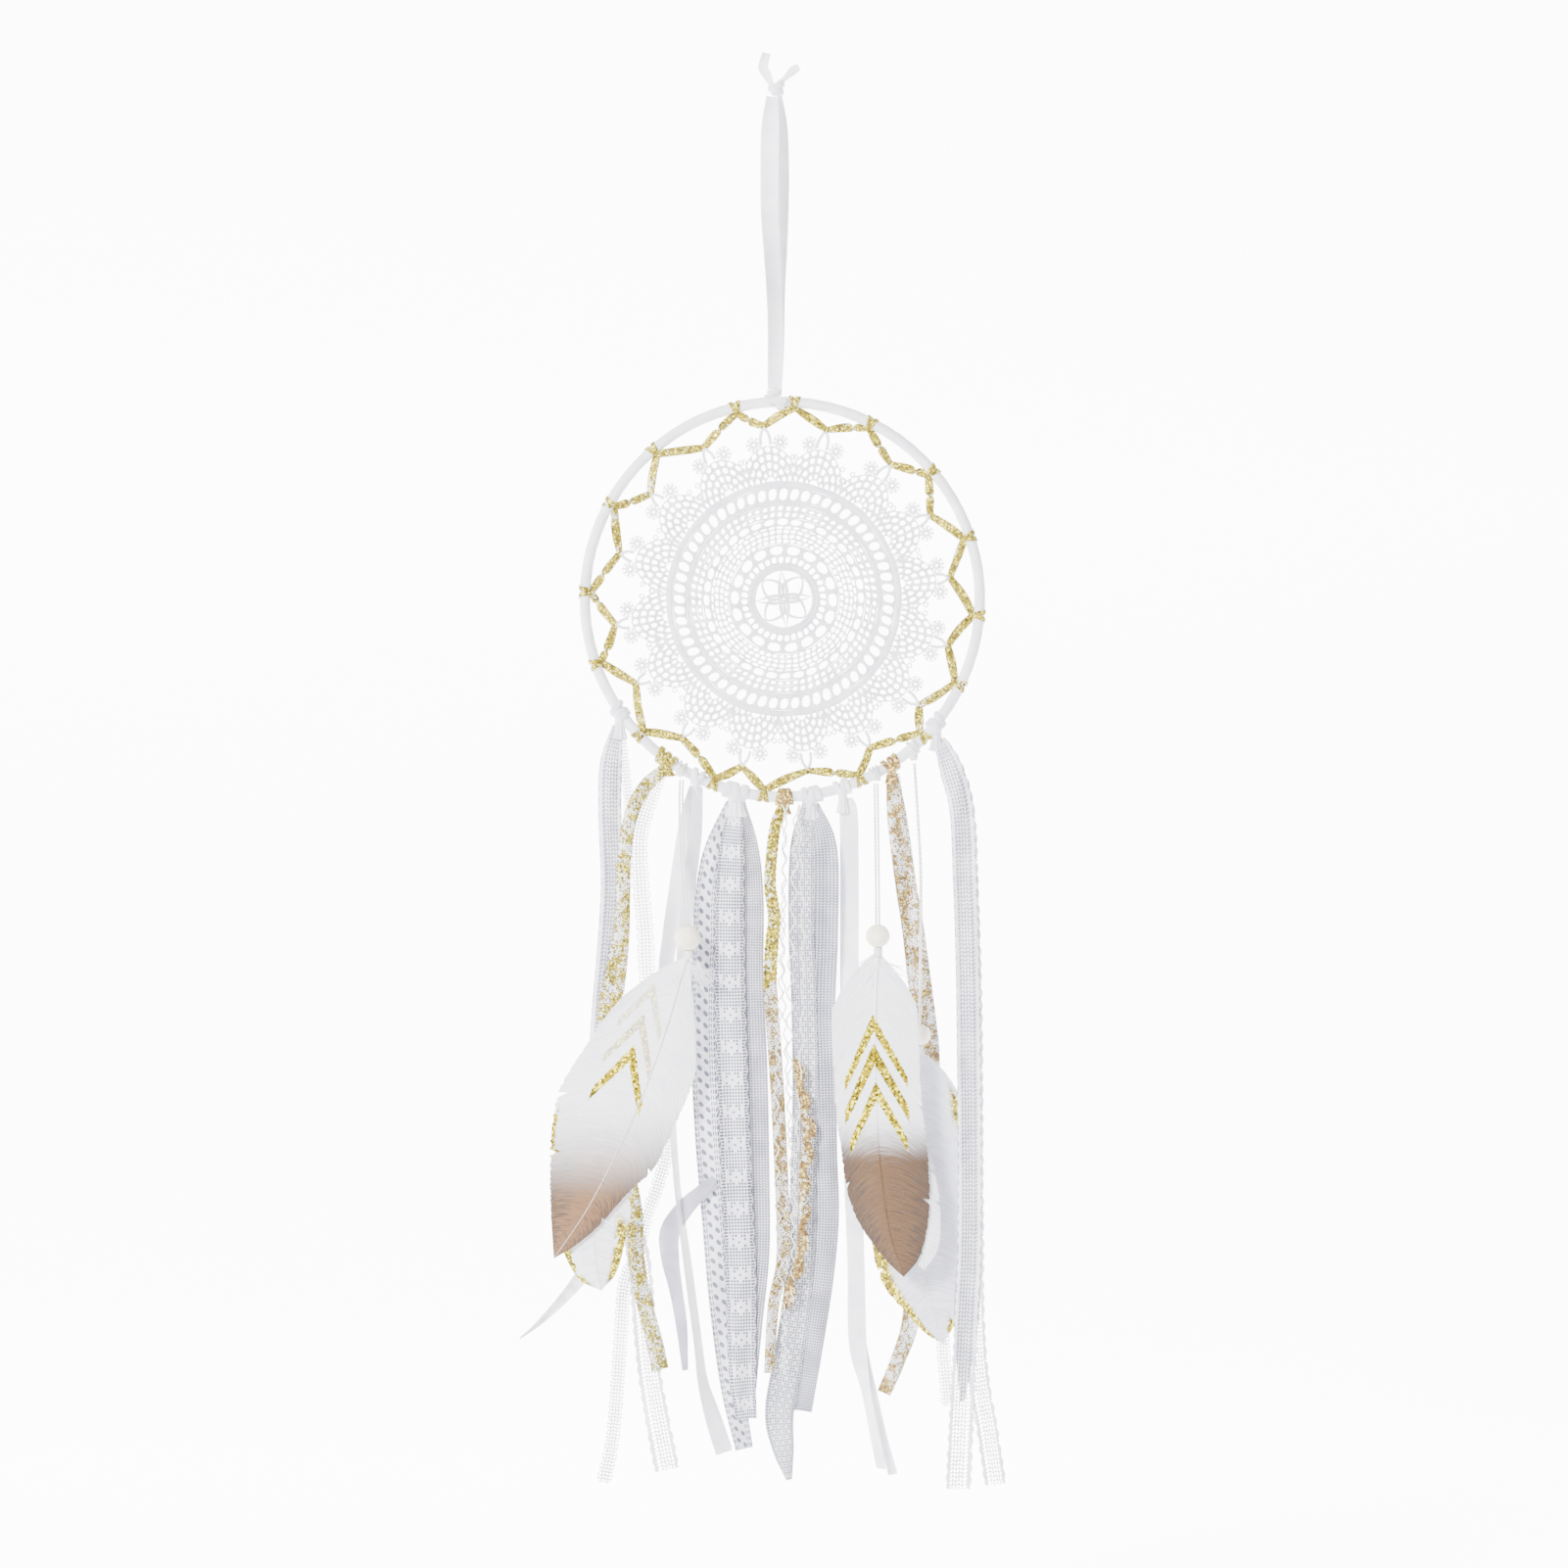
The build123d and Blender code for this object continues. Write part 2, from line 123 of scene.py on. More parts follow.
bpy.ops.object.select_all(action="DESELECT")
bpy.ops.mesh.primitive_plane_add(size=FLOOR_SIZE, location=(0, -1.6, -0.8))
sweep = bpy.context.active_object
sweep.name = "studio_sweep"
bpy.ops.object.transform_apply(location=True, rotation=False, scale=False)
select_edges(sweep, lambda a, b: min(a.y, b.y) > 0)
bpy.ops.mesh.extrude_region_move(TRANSFORM_OT_translate={"value": (0, 0, WALL_HEIGHT)})
select_edges(sweep, lambda a, b: min(a.y, b.y) > 0 and max(a.z, b.z) < 0)
bpy.ops.mesh.bevel(offset=CORNER_RADIUS, segments=16)
bpy.ops.object.mode_set(mode="OBJECT")
bpy.ops.object.shade_smooth()
paper = bpy.data.materials.new("studio_paper")
paper.use_nodes = True
paper_shader = paper.node_tree.nodes["Principled BSDF"]
paper_shader.inputs["Base Color"].default_value = (0.9, 0.9, 0.9, 1)
paper_shader.inputs["Roughness"].default_value = 0.9
paper_shader.inputs["Emission Strength"].default_value = 8
paper_place = paper.node_tree.nodes.new("ShaderNodeTexCoord")
paper_depth = paper.node_tree.nodes.new("ShaderNodeSeparateXYZ")
paper_glow = paper.node_tree.nodes.new("ShaderNodeMapRange")
paper_glow.interpolation_type = "SMOOTHSTEP"
paper_glow.inputs["From Min"].default_value = 0.0
paper_glow.inputs["From Max"].default_value = GLOW_DEPTH
paper.node_tree.links.new(paper_place.outputs["Object"], paper_depth.inputs[0])
paper.node_tree.links.new(paper_depth.outputs["Y"], paper_glow.inputs["Value"])
paper.node_tree.links.new(paper_glow.outputs["Result"], paper_shader.inputs["Emission Color"])
sweep.data.materials.append(paper)
print("camera", camera.location, "sweep faces", len(sweep.data.polygons))

# %% [markdown]
# Materials are written as sums. One small class holds a socket and turns + - * and the
# comparisons < > into Math nodes, and one method adds every other kind of node.

# %% Node helpers


class Value:
    """A number that varies over a surface: a socket with arithmetic."""

    def __init__(self, finish, socket):
        self.finish = finish
        self.socket = socket

    def math(self, operation, first, second=None):
        """One Math node."""
        given = [first] if second is None else [first, second]
        return self.finish.node("ShaderNodeMath", {"operation": operation}, given)

    def __add__(self, other):
        return self.math("ADD", self, other)

    def __radd__(self, other):
        return self.math("ADD", other, self)

    def __sub__(self, other):
        return self.math("SUBTRACT", self, other)

    def __rsub__(self, other):
        return self.math("SUBTRACT", other, self)

    def __mul__(self, other):
        return self.math("MULTIPLY", self, other)

    def __rmul__(self, other):
        return self.math("MULTIPLY", other, self)

    def __gt__(self, other):
        return self.math("GREATER_THAN", self, other)

    def __lt__(self, other):
        return self.math("LESS_THAN", self, other)

    def size(self):
        """Without its sign."""
        return self.math("ABSOLUTE", self)

    def wave(self):
        """Its sine."""
        return self.math("SINE", self)

    def step(self, start, end):
        """0 before start, 1 after end and a soft ramp between."""
        inputs = {"Value": self, "From Min": start, "From Max": end}
        kind = {"interpolation_type": "SMOOTHSTEP"}
        return self.finish.node("ShaderNodeMapRange", kind, inputs)


class Finish:
    """A material and its Principled shader."""

    def __init__(self, name, **fixed):
        self.material = bpy.data.materials.new(name)
        self.material.use_nodes = True
        self.tree = self.material.node_tree
        self.shader = self.tree.nodes["Principled BSDF"]
        for key, value in fixed.items():
            self.shader.inputs[key.replace("_", " ")].default_value = value

    def node(self, kind, settings, inputs, output=0):
        """Add a node: its settings first, then its sockets' values or links."""
        new = self.tree.nodes.new(kind)
        for key, value in settings.items():
            setattr(new, key, value)
        pairs = inputs.items() if isinstance(inputs, dict) else enumerate(inputs)
        for key, value in pairs:
            if isinstance(value, Value):
                self.tree.links.new(value.socket, new.inputs[key])
            else:
                new.inputs[key].default_value = value
        return Value(self, new.outputs[output])

    def place(self):
        """The Object coordinates."""
        return self.node("ShaderNodeTexCoord", {}, {}, "Object")

    def cloth(self):
        """The piece's own UV map: across, then along, in metres."""
        return self.node("ShaderNodeUVMap", {"uv_map": "cloth"}, {})

    def parts(self, vector):
        """The three numbers of a vector."""
        first = self.node("ShaderNodeSeparateXYZ", {}, {"Vector": vector})
        return [Value(self, out) for out in first.socket.node.outputs]

    def noise(self, vector, scale, detail=2.0):
        """Soft noise from 0 to 1."""
        inputs = {"Vector": vector, "Scale": scale, "Detail": detail}
        return self.node("ShaderNodeTexNoise", {}, inputs)

    def flakes(self, vector, scale):
        """Random cells, one colour each."""
        return self.node("ShaderNodeTexVoronoi", {}, {"Vector": vector, "Scale": scale}, "Color")

    def stretch(self, vector, scale):
        """A vector with each axis scaled by its own number."""
        return self.node("ShaderNodeVectorMath", {"operation": "MULTIPLY"}, [vector, scale])

    def mix(self, factor, first, second):
        """One colour over another."""
        new = self.tree.nodes.new("ShaderNodeMix")
        new.data_type = "RGBA"
        for number, value in ((0, factor), (6, first), (7, second)):
            socket = new.inputs[number]
            if isinstance(value, Value):
                self.tree.links.new(value.socket, socket)
            else:
                socket.default_value = value
        return Value(self, new.outputs[2])

    def feed(self, **inputs):
        """Link what varies to the shader's sockets."""
        for key, value in inputs.items():
            self.tree.links.new(value.socket, self.shader.inputs[key.replace("_", " ")])

    def bump(self, height, strength, distance):
        """Relief on the surface."""
        inputs = {"Height": height, "Strength": strength, "Distance": distance}
        self.feed(Normal=self.node("ShaderNodeBump", {}, inputs))


def rgb(red, green, blue):
    """A colour from its sRGB numbers."""
    return tuple(((c + 14.025) / 269.025) ** 2.4 for c in (red, green, blue)) + (1,)


print("material helpers ready")

# %% [markdown]
# The white parts are satin, cotton and lace, and each one is woven thread. Satin's threads
# float a long way, so its waves are long and it shines. Cotton is matt. Lace is fine and cool in
# shade. A grid of two sine waves is enough for all of them, so one function makes every one.

# %% White cloth finishes
WHITE = rgb(244, 244, 248)
SHADE = rgb(214, 214, 228)


def thread_finish(name, tint, shade, across, along, relief, **fixed):
    """Woven thread: a grid of fine waves in the piece's own UV, with soft cloudy shade."""
    finish = Finish(name, **fixed)
    cloth = finish.cloth()
    u, v, _ = finish.parts(cloth)
    weave = (u * (math.tau / across)).wave() * (v * (math.tau / along)).wave()
    cloud = finish.noise(finish.place(), 90)
    tone = finish.mix((cloud - 0.35) * 1.6 - weave * 0.12, tint, shade)
    finish.feed(Base_Color=tone, Roughness=0.45 + cloud * 0.2)
    finish.bump(weave, 0.5, relief)
    return finish.material


satin = thread_finish(
    "white_satin", WHITE, SHADE, 0.0003, 0.0016, 0.00006,
    Sheen_Weight=0.4, Sheen_Roughness=0.3, Specular_IOR_Level=0.6,
)
wrap_cloth = thread_finish(
    "hoop_ribbon", WHITE, SHADE, 0.0005, 0.0005, 0.0001, Sheen_Weight=0.2,
)
cotton = thread_finish(
    "crochet_cotton", rgb(240, 240, 244), rgb(200, 200, 212), 0.0006, 0.0012, 0.00015, Sheen_Weight=0.3,
)
lace_thread = thread_finish(
    "lace_thread", rgb(240, 240, 246), rgb(190, 189, 206), 0.0004, 0.0005, 0.0001, Sheen_Weight=0.3,
)
net_thread = thread_finish(
    "net_thread", rgb(226, 226, 236), rgb(172, 172, 190), 0.0004, 0.0004, 0.0001, Sheen_Weight=0.4,
)
cord_cotton = thread_finish(
    "cord_cotton", rgb(240, 238, 236), rgb(204, 202, 208), 0.0004, 0.0006, 0.0001, Sheen_Weight=0.3,
)
trim_thread = thread_finish(
    "trim_thread", rgb(248, 247, 252), rgb(206, 205, 220), 0.0004, 0.0005, 0.0001, Sheen_Weight=0.2,
)
# Darker sheets hung behind lace and gold trims: painted shade between layered threads.
under_net = thread_finish(
    "under_net", rgb(132, 131, 147), rgb(86, 85, 104), 0.0005, 0.0005, 0.00005, Sheen_Weight=0.1,
)
under_gold = thread_finish(
    "under_gold", rgb(146, 138, 122), rgb(98, 90, 76), 0.0005, 0.0005, 0.00005, Sheen_Weight=0.1,
)
# Grey organza: the finish of the organza strip, and also of the painted-shade sheets behind the two far lace
# strips.
organza_and_shade_sheet = thread_finish(
    "organza_and_shade_sheet", rgb(176, 175, 190), rgb(122, 121, 140), 0.0004, 0.0004, 0.00005, Sheen_Weight=0.6,
)
print("white finishes made")

# %% [markdown]
# Lurex and sequins are thousands of tiny mirrors. Modelling each one would cost too much, so
# random cells give each flake its own colour, shine and tilt. Their colour carries painted light:
# some flakes get a bright colour, a painted glint where they would catch the light, and their
# neighbours a darker one, partly the gold's own colour and partly painted shade. Soft noise then
# rubs patches of them down to the white ground.

# %% Gold finishes


def sparkle_finish(name, dark, middle, glint, flake, white, patch=60):
    """Metallic flakes over a white ground. More white shows more ground, in larger patches."""
    finish = Finish(name, Sheen_Weight=0.1, Specular_IOR_Level=0.7)
    place = finish.place()
    cell = finish.flakes(place, 1 / flake)
    red, green, blue = finish.parts(cell)
    # Each flake's colour runs from dark to middle gold, partly its own colour and partly painted shade; one
    # flake in five gets the bright colour, a painted glint.
    gold = finish.mix(red.step(0.1, 0.75), dark, middle)
    gold = finish.mix(green > 0.8, gold, glint)
    cloud = finish.noise(place, patch)
    ground = (cloud + blue * 0.35) < (0.28 + white * 0.5)
    tone = finish.mix(ground, gold, rgb(236, 236, 240))
    finish.feed(Base_Color=tone, Metallic=(1 - ground) * 0.4, Roughness=0.3 + red * 0.35)
    finish.bump(green, 0.9, flake * 0.6)
    return finish.material


# Each set is a flake's dark, middle and bright colour: the bright one is a painted glint, the dark one
# partly painted shade.
GOLD = (rgb(80, 68, 0), rgb(164, 144, 0), rgb(252, 240, 92))
BRONZE = (rgb(98, 72, 30), rgb(160, 128, 66), rgb(238, 216, 120))
lurex = sparkle_finish("gold_lurex", *GOLD, 0.0007, 0.3)
lurex_strip = sparkle_finish("strip_lurex", *GOLD, 0.0006, 0.68, 190)
lurex_pale = sparkle_finish("pale_lurex", *BRONZE, 0.0006, 0.72, 190)
lurex_back = sparkle_finish("white_lurex", *GOLD, 0.0007, 1.05, 120)
sequin = sparkle_finish("gold_sequins", *BRONZE, 0.0009, 0.0)
sequin_yellow = sparkle_finish("yellow_sequins", *GOLD, 0.0008, 0.42, 170)
wave_lurex = sparkle_finish("wave_lurex", *BRONZE, 0.0009, 0.4, 90)
print("gold finishes made")

# %% [markdown]
# The beads are plain turned wood with no varnish: faint growth rings across a pale ground,
# and short dark pores that run with the grain.

# %% Wood finish
wood = Finish("bead_wood", Roughness=0.62, Specular_IOR_Level=0.35)
grain_place = wood.stretch(wood.place(), (1, 1, 0.35))
rings = wood.noise(grain_place, 260, 4)
pores = wood.noise(wood.stretch(wood.place(), (2.2, 2.2, 0.3)), 900)
tone = wood.mix(rings.step(0.35, 0.65), rgb(255, 251, 236), rgb(244, 230, 204))
wood.feed(Base_Color=wood.mix(pores.step(0.62, 0.74) * 0.5, tone, rgb(180, 150, 112)))
wood.bump(pores, 0.3, 0.0001)
steel = Finish("steel_wire", Metallic=1.0)
drawn = steel.noise(steel.place(), 700)
steel.feed(Roughness=0.3 + drawn * 0.2, Base_Color=steel.mix(drawn, rgb(150, 150, 155), rgb(120, 120, 126)))
print("wood and steel made")

# %% [markdown]
# Each piece starts as a Blender primitive and is shaped in edit mode. These helpers read and
# move its points, apply modifiers, draw smooth lines, and finish it with a material.

# %% Modelling helpers
SMOOTH_ANGLE = math.radians(50)


def alone(obj):
    """Make an object the only selected one."""
    bpy.ops.object.select_all(action="DESELECT")
    obj.select_set(True)
    bpy.context.view_layer.objects.active = obj


def read(obj):
    """A mesh's points as an array."""
    points = np.empty(len(obj.data.vertices) * 3)
    obj.data.vertices.foreach_get("co", points)
    return points.reshape(-1, 3)


def write(obj, points):
    """Move a mesh's points."""
    obj.data.vertices.foreach_set("co", np.ascontiguousarray(points, float).ravel())
    obj.data.update()


def apply_modifier(obj, kind, **settings):
    """Add a modifier and apply it."""
    alone(obj)
    modifier = obj.modifiers.new(kind.lower(), kind)
    for key, value in settings.items():
        setattr(modifier, key, value)
    bpy.ops.object.modifier_apply(modifier=modifier.name)


def round_off(obj, levels=1):
    """Subdivide a mesh smoothly. The limit surface looks the same here and is ten times slower."""
    apply_modifier(obj, "SUBSURF", levels=levels, render_levels=levels, use_limit_surface=False)


def uv_from(obj, across, along):
    """Write the piece's own UV map from two numbers at each point."""
    layer = obj.data.uv_layers.get("cloth") or obj.data.uv_layers.new(name="cloth")
    corners = np.empty(len(obj.data.loops), int)
    obj.data.loops.foreach_get("vertex_index", corners)
    layer.data.foreach_set("uv", np.stack([across[corners], along[corners]], 1).ravel())


def outwards(obj):
    """Recalculate the normals of a closed mesh."""
    alone(obj)
    bpy.ops.object.mode_set(mode="EDIT")
    bpy.ops.mesh.select_all(action="SELECT")
    bpy.ops.mesh.normals_make_consistent(inside=False)
    bpy.ops.object.mode_set(mode="OBJECT")


def finish_piece(obj, name, material):
    """Name a piece, smooth it and give it its material."""
    obj.name = name
    obj.data.name = name
    obj.data.materials.clear()
    obj.data.materials.append(material)
    alone(obj)
    bpy.ops.object.shade_smooth_by_angle(angle=SMOOTH_ANGLE)


def smooth_line(points, count):
    """Evenly numbered points on a smooth curve through the given ones, with any extra columns."""
    given = np.array(points, float)
    padded = np.vstack([2 * given[0] - given[1], given, 2 * given[-1] - given[-2]])
    t = np.linspace(0, len(given) - 1, count)
    n = np.minimum(t.astype(int), len(given) - 2)
    f = (t - n)[:, None]
    a, b, c, d = (padded[n + k] for k in range(4))
    square = (2 * a - 5 * b + 4 * c - d) * f**2
    cube = (3 * b - a - 3 * c + d) * f**3
    return 0.5 * (2 * b + (c - a) * f + square + cube)


def even_line(points, count):
    """The same curve with points evenly spaced along it."""
    fine = smooth_line(points, max(400, count * 4))
    steps = np.linalg.norm(np.diff(fine[:, :2], axis=0), axis=1)
    run = np.concatenate([[0], np.cumsum(steps)])
    target = np.linspace(0, run[-1], count)
    return np.stack([np.interp(target, run, fine[:, k]) for k in range(fine.shape[1])], 1), run[-1]


print("modelling helpers ready")

# %% [markdown]
# The cords come first, because they hang free and carry the feathers. Each pendant hangs on
# two thin cords, or one thicker one, laid from two twisted plies. The route is the CAD one,
# as a smooth curve, and the plies wind round it.

# %% Pendant cords
# body, diameter in metres, half the gap between two cords and the route in mm
CORD_ROUTES = {
    "left": ("left_pendant", 0.0013, 0.75, [
        (-45.2, -6.4, -338), (-46.6, -12.4, -357), (-41.7, -12.5, -421.6)]),
    "right": ("right_pendant", 0.0013, 0.75, [
        (50.3, -6.4, -339.8), (50.7, -7.2, -357), (51.2, -10.5, -420.2)]),
    "small": ("small_pendant", 0.0018, 0, [
        (69.4, 0.4, -329.8), (71.6, 0.2, -362), (73.1, 0.7, -392), (72.0, 1.0, -469.2)]),
}
PLY_STEPS = 8  # points in one turn of a ply
PLY_PITCH = 2.6  # one turn's length, in cord diameters


def nurbs_route(name, points):
    """A free line: one open NURBS spline through space."""
    data = bpy.data.curves.new(name, "CURVE")
    data.dimensions = "3D"
    data.resolution_u = 24
    spline = data.splines.new("NURBS")
    spline.points.add(len(points) - 1)
    for point, place in zip(spline.points, points):
        point.co = (*place, 1)
    spline.order_u = 3
    spline.use_endpoint_u = True
    holder = bpy.data.objects.new(name, data)
    bpy.context.collection.objects.link(holder)
    line = bpy.data.meshes.new_from_object(holder)
    path = [v.co.copy() for v in line.vertices]
    bpy.data.objects.remove(holder)
    return path


def frames_along(path, count):
    """Evenly spaced places on a path, with two directions square to it."""
    line = np.array(path)
    run = np.concatenate([[0], np.cumsum(np.linalg.norm(np.diff(line, axis=0), axis=1))])
    target = np.linspace(0, run[-1], count)
    places = np.stack([np.interp(target, run, line[:, k]) for k in range(3)], 1)
    heading = np.gradient(places, axis=0)
    heading /= np.linalg.norm(heading, axis=1)[:, None]
    side = np.cross(heading, (0, 1, 0))
    side /= np.linalg.norm(side, axis=1)[:, None]
    return places, side, np.cross(side, heading), run[-1]


def wound_tube(name, lines, radius, sides=2):
    """Bevelled lines turned into one mesh."""
    data = bpy.data.curves.new(name, "CURVE")
    data.dimensions = "3D"
    data.bevel_depth = radius
    data.bevel_resolution = sides
    data.use_fill_caps = True
    for line in lines:
        spline = data.splines.new("POLY")
        spline.points.add(len(line) - 1)
        spline.points.foreach_set("co", np.c_[line, np.ones(len(line))].ravel())
    obj = bpy.data.objects.new(name, data)
    bpy.context.collection.objects.link(obj)
    alone(obj)
    bpy.ops.object.convert(target="MESH")
    points = read(obj)
    uv_from(obj, points[:, 0], points[:, 2])
    return obj


def cord_piece(name, body, points, diameter):
    """A two-ply cord along a route."""
    path = nurbs_route(name + "_route", points)
    pitch = diameter * PLY_PITCH
    length = float(sum((b - a).length for a, b in zip(path, path[1:])))
    count = int(length / pitch * PLY_STEPS)
    places, side, up, length = frames_along(path, count)
    turn = np.linspace(0, math.tau * length / pitch, count)[:, None]
    offset = diameter / 4
    plies = [
        places + offset * (np.cos(turn + phase) * side + np.sin(turn + phase) * up)
        for phase in (0, math.pi)
    ]
    obj = wound_tube(name, plies, diameter / 4)
    finish_piece(obj, name, cord_cotton)
    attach(obj, body)
    print(name, "length", round(length, 4))
    return obj


for pendant, (body, diameter, spread, points) in CORD_ROUTES.items():
    route = [Vector(p) * MM for p in points]
    up = (route[-2] - route[-1]).normalized()
    aside = Vector((0, 1, 0)).cross(up).normalized() * spread * MM
    for n, sign in enumerate((-1, 1) if spread else (0,)):
        made = cord_piece(f"{pendant}_cord_{n + 1}", body, [p + aside * sign for p in route], diameter)
        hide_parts(f"{pendant}_cords")

# %% [markdown]
# Lace is cloth with holes. Modelled flat, a lace strip is a grid with some of its cells
# inset and opened; subdivision rounds the holes and Solidify gives the thread its thickness.
# The flat strip is then laid along the line where it hangs.

# %% Flat lace


def open_cells(obj, shares, unit):
    """Inset each face by its share of the unit and delete its middle. A share of 0 stays solid."""
    groups = {}
    for face, share in zip(obj.data.polygons, shares):
        if share:
            groups.setdefault(round(share, 3), []).append(face.index)
    for share, faces in groups.items():
        mark = obj.data.attributes.new(f"share_{int(share * 1000)}", "BOOLEAN", "FACE")
        mark.data.foreach_set("value", np.isin(np.arange(len(obj.data.polygons)), faces))
    for share in groups:
        alone(obj)
        mark = obj.data.attributes[f"share_{int(share * 1000)}"]
        chosen = np.zeros(len(obj.data.polygons), bool)
        mark.data.foreach_get("value", chosen)
        bpy.ops.object.mode_set(mode="EDIT")
        bpy.ops.mesh.select_mode(type="FACE")
        bpy.ops.mesh.select_all(action="DESELECT")
        bpy.ops.object.mode_set(mode="OBJECT")
        obj.data.polygons.foreach_set("select", chosen)
        bpy.ops.object.mode_set(mode="EDIT")
        bpy.ops.mesh.inset(thickness=unit * share, use_individual=True)
        bpy.ops.mesh.delete(type="FACE")
        bpy.ops.object.mode_set(mode="OBJECT")
    for mark in [a for a in obj.data.attributes if a.name.startswith("share_")]:
        obj.data.attributes.remove(mark)


def every_cell(share):
    """A pattern that is the same all over."""
    return lambda column, row: share


def grid(across, along):
    """A new grid, with the number of the column and row that each point is on."""
    bpy.ops.object.select_all(action="DESELECT")
    bpy.ops.mesh.primitive_grid_add(x_subdivisions=across, y_subdivisions=along, size=2)
    obj = bpy.context.active_object
    points = read(obj)
    column = np.rint((points[:, 0] + 1) / 2 * across).astype(int)
    row = np.rint((1 - points[:, 1]) / 2 * along).astype(int)
    return obj, column, row


def cells(obj, across, along):
    """The column and row of each face of a grid that hasn't been shaped yet."""
    middles = [face.center for face in obj.data.polygons]
    return [(int((m.x + 1) / 2 * across), int((1 - m.y) / 2 * along)) for m in middles]


def flat_lace(weave, length):
    """A flat strip of one weave, about length mm long, made from one repeat of its pattern."""
    columns, pitch, repeat, pattern, zigzag, edge, rounded, thickness = weave
    obj, i, j = grid(len(columns), repeat)
    shares = [pattern(column, row) for column, row in cells(obj, len(columns), repeat)]
    edges = np.concatenate([[0], np.cumsum(columns)]) * MM
    x = edges[i] - edges[-1] / 2
    if edge is not None:
        reach, period, left, right = edge
        bulge = reach * MM * np.abs(np.sin(np.pi * j / period))
        x = x - np.where(i == 0, bulge * left, 0) + np.where(i == len(columns), bulge * right, 0)
    y = -(j + zigzag * (i % 2)) * pitch * MM
    write(obj, np.stack([x, y, np.zeros(len(y))], 1))
    open_cells(obj, shares, min(min(columns), pitch) * MM)
    step = (0, -repeat * pitch * MM, 0)
    apply_modifier(
        obj, "ARRAY", count=max(1, round(length / (repeat * pitch))), use_relative_offset=False,
        use_constant_offset=True, constant_offset_displace=step,
        use_merge_vertices=True, merge_threshold=0.00002,
    )
    apply_modifier(obj, "SOLIDIFY", thickness=thickness * MM, offset=0)
    if rounded:
        round_off(obj)
    return obj


ROUTE_STEPS = 300
SWAY = 0.0004
EASE = 0.022  # how far below its knot a strip reaches its own depth


def lay_along(obj, route, depth, full, tilt=0, root_depth=0.0, seed=1):
    """Bend a flat strip to hang along a route of (x, z, width) in mm.

    With a tilt it keeps its full width and turns edge on where the route is narrow.
    Without one it gathers, in folds that neighbours share.
    """
    points = read(obj)
    flat_width = points[:, 0].max() - points[:, 0].min()
    top = points[:, 1].max()
    reach = top - points[:, 1].min()
    line, length = even_line(route, ROUTE_STEPS)
    along = (top - points[:, 1]) / reach
    at = along * (ROUTE_STEPS - 1)
    steps = np.arange(ROUTE_STEPS)
    x, z, width = (np.interp(at, steps, line[:, k]) * MM for k in range(3))
    heading = np.gradient(line[:, :2], axis=0)
    heading /= np.linalg.norm(heading, axis=1)[:, None]
    hx, hz = (np.interp(at, steps, heading[:, k]) for k in range(2))
    across = points[:, 0] / flat_width
    run = along * length * MM
    ease = np.clip(run / EASE, 0, 1) ** 0.7
    if tilt:
        rng = random.Random(seed)
        phase = [rng.uniform(0, math.tau) for _ in range(2)]
        turn = np.arccos(np.clip(width / (full * MM), 0.2, 1)) * tilt
        span = across * (full * MM)
        flat = np.cos(turn)
        long_wave = np.sin(run / 0.019 + phase[0] + across * 2.2)
        short_wave = np.sin(run / 0.0083 + phase[1] - across * 3)
        folds = SWAY * (long_wave + 0.6 * short_wave)
    else:
        turn = 0.0
        span = across * width
        flat = 1.0
        pleats = np.sin((x - hz * span) / 0.0021 + 1.5 * np.sin(z / 0.038))
        folds = 0.00085 * pleats + 0.0003 * np.sin(z / 0.011)
    y = root_depth * MM + (depth - root_depth) * MM * ease + folds * ease + points[:, 2]
    y = y + span * np.sin(turn)
    write(obj, np.stack([x - hz * span * flat, y, z + hx * span * flat], 1))
    uv_from(obj, across * full * MM, run)
    return length * MM


print("lace helpers ready")

# %% [markdown]
# Each kind of lace is one small drawing: the widths of its columns, and how much of each cell
# is thread. A share of 0 leaves a cell solid, as in a flower's middle or a ribbon. Drawing one
# repeat and arraying it is quicker than modelling a strip, and keeps the pattern even.

# %% Weaves


def open_trim(column, row):
    """Narrow torchon lace: small holes, one row of large ones, a solid selvage."""
    if column in (0, 6):
        return 0.0
    if column == 5:
        return 0.12 if row % 2 else 0.24
    return 0.22 if (row + column) % 5 else 0.34


def mirrored_trim(column, row):
    """The same trim with its selvage on the left."""
    return open_trim(6 - column, row)


def eyelet_net(column, row):
    """Close net with two columns of big oval eyelets."""
    if column in (2, 4):
        return 0.2 if row % 2 == column // 4 else 0.0
    return 0.0 if column == 3 else 0.3


def flower_net(column, row):
    """Scalloped lace with a round flower every ten rows."""
    side = abs(column - 4)
    phase = row % 10
    if side + abs(phase - 5) < 3:
        return 0.14 if side == 0 and phase == 5 else 0.0
    if side == 3:
        return 0.0 if phase in (3, 4, 5, 6) else 0.14
    return 0.13


def dot_net(column, row):
    """Net with rows of solid dots."""
    return 0.0 if (row % 4, column % 3) in ((0, 1), (2, 2)) else 0.15


def wave_holes(column, row):
    """Braid with one long hole in each wave."""
    return 0.28 if column == 1 and row % 10 in (3, 4, 5, 6) else 0.0


def ladder(column, row):
    """Narrow lurex trim with a ladder of holes."""
    if column == 0 or (row * 3 + column * 5) % 4 == 0:
        return 0.0
    return 0.26


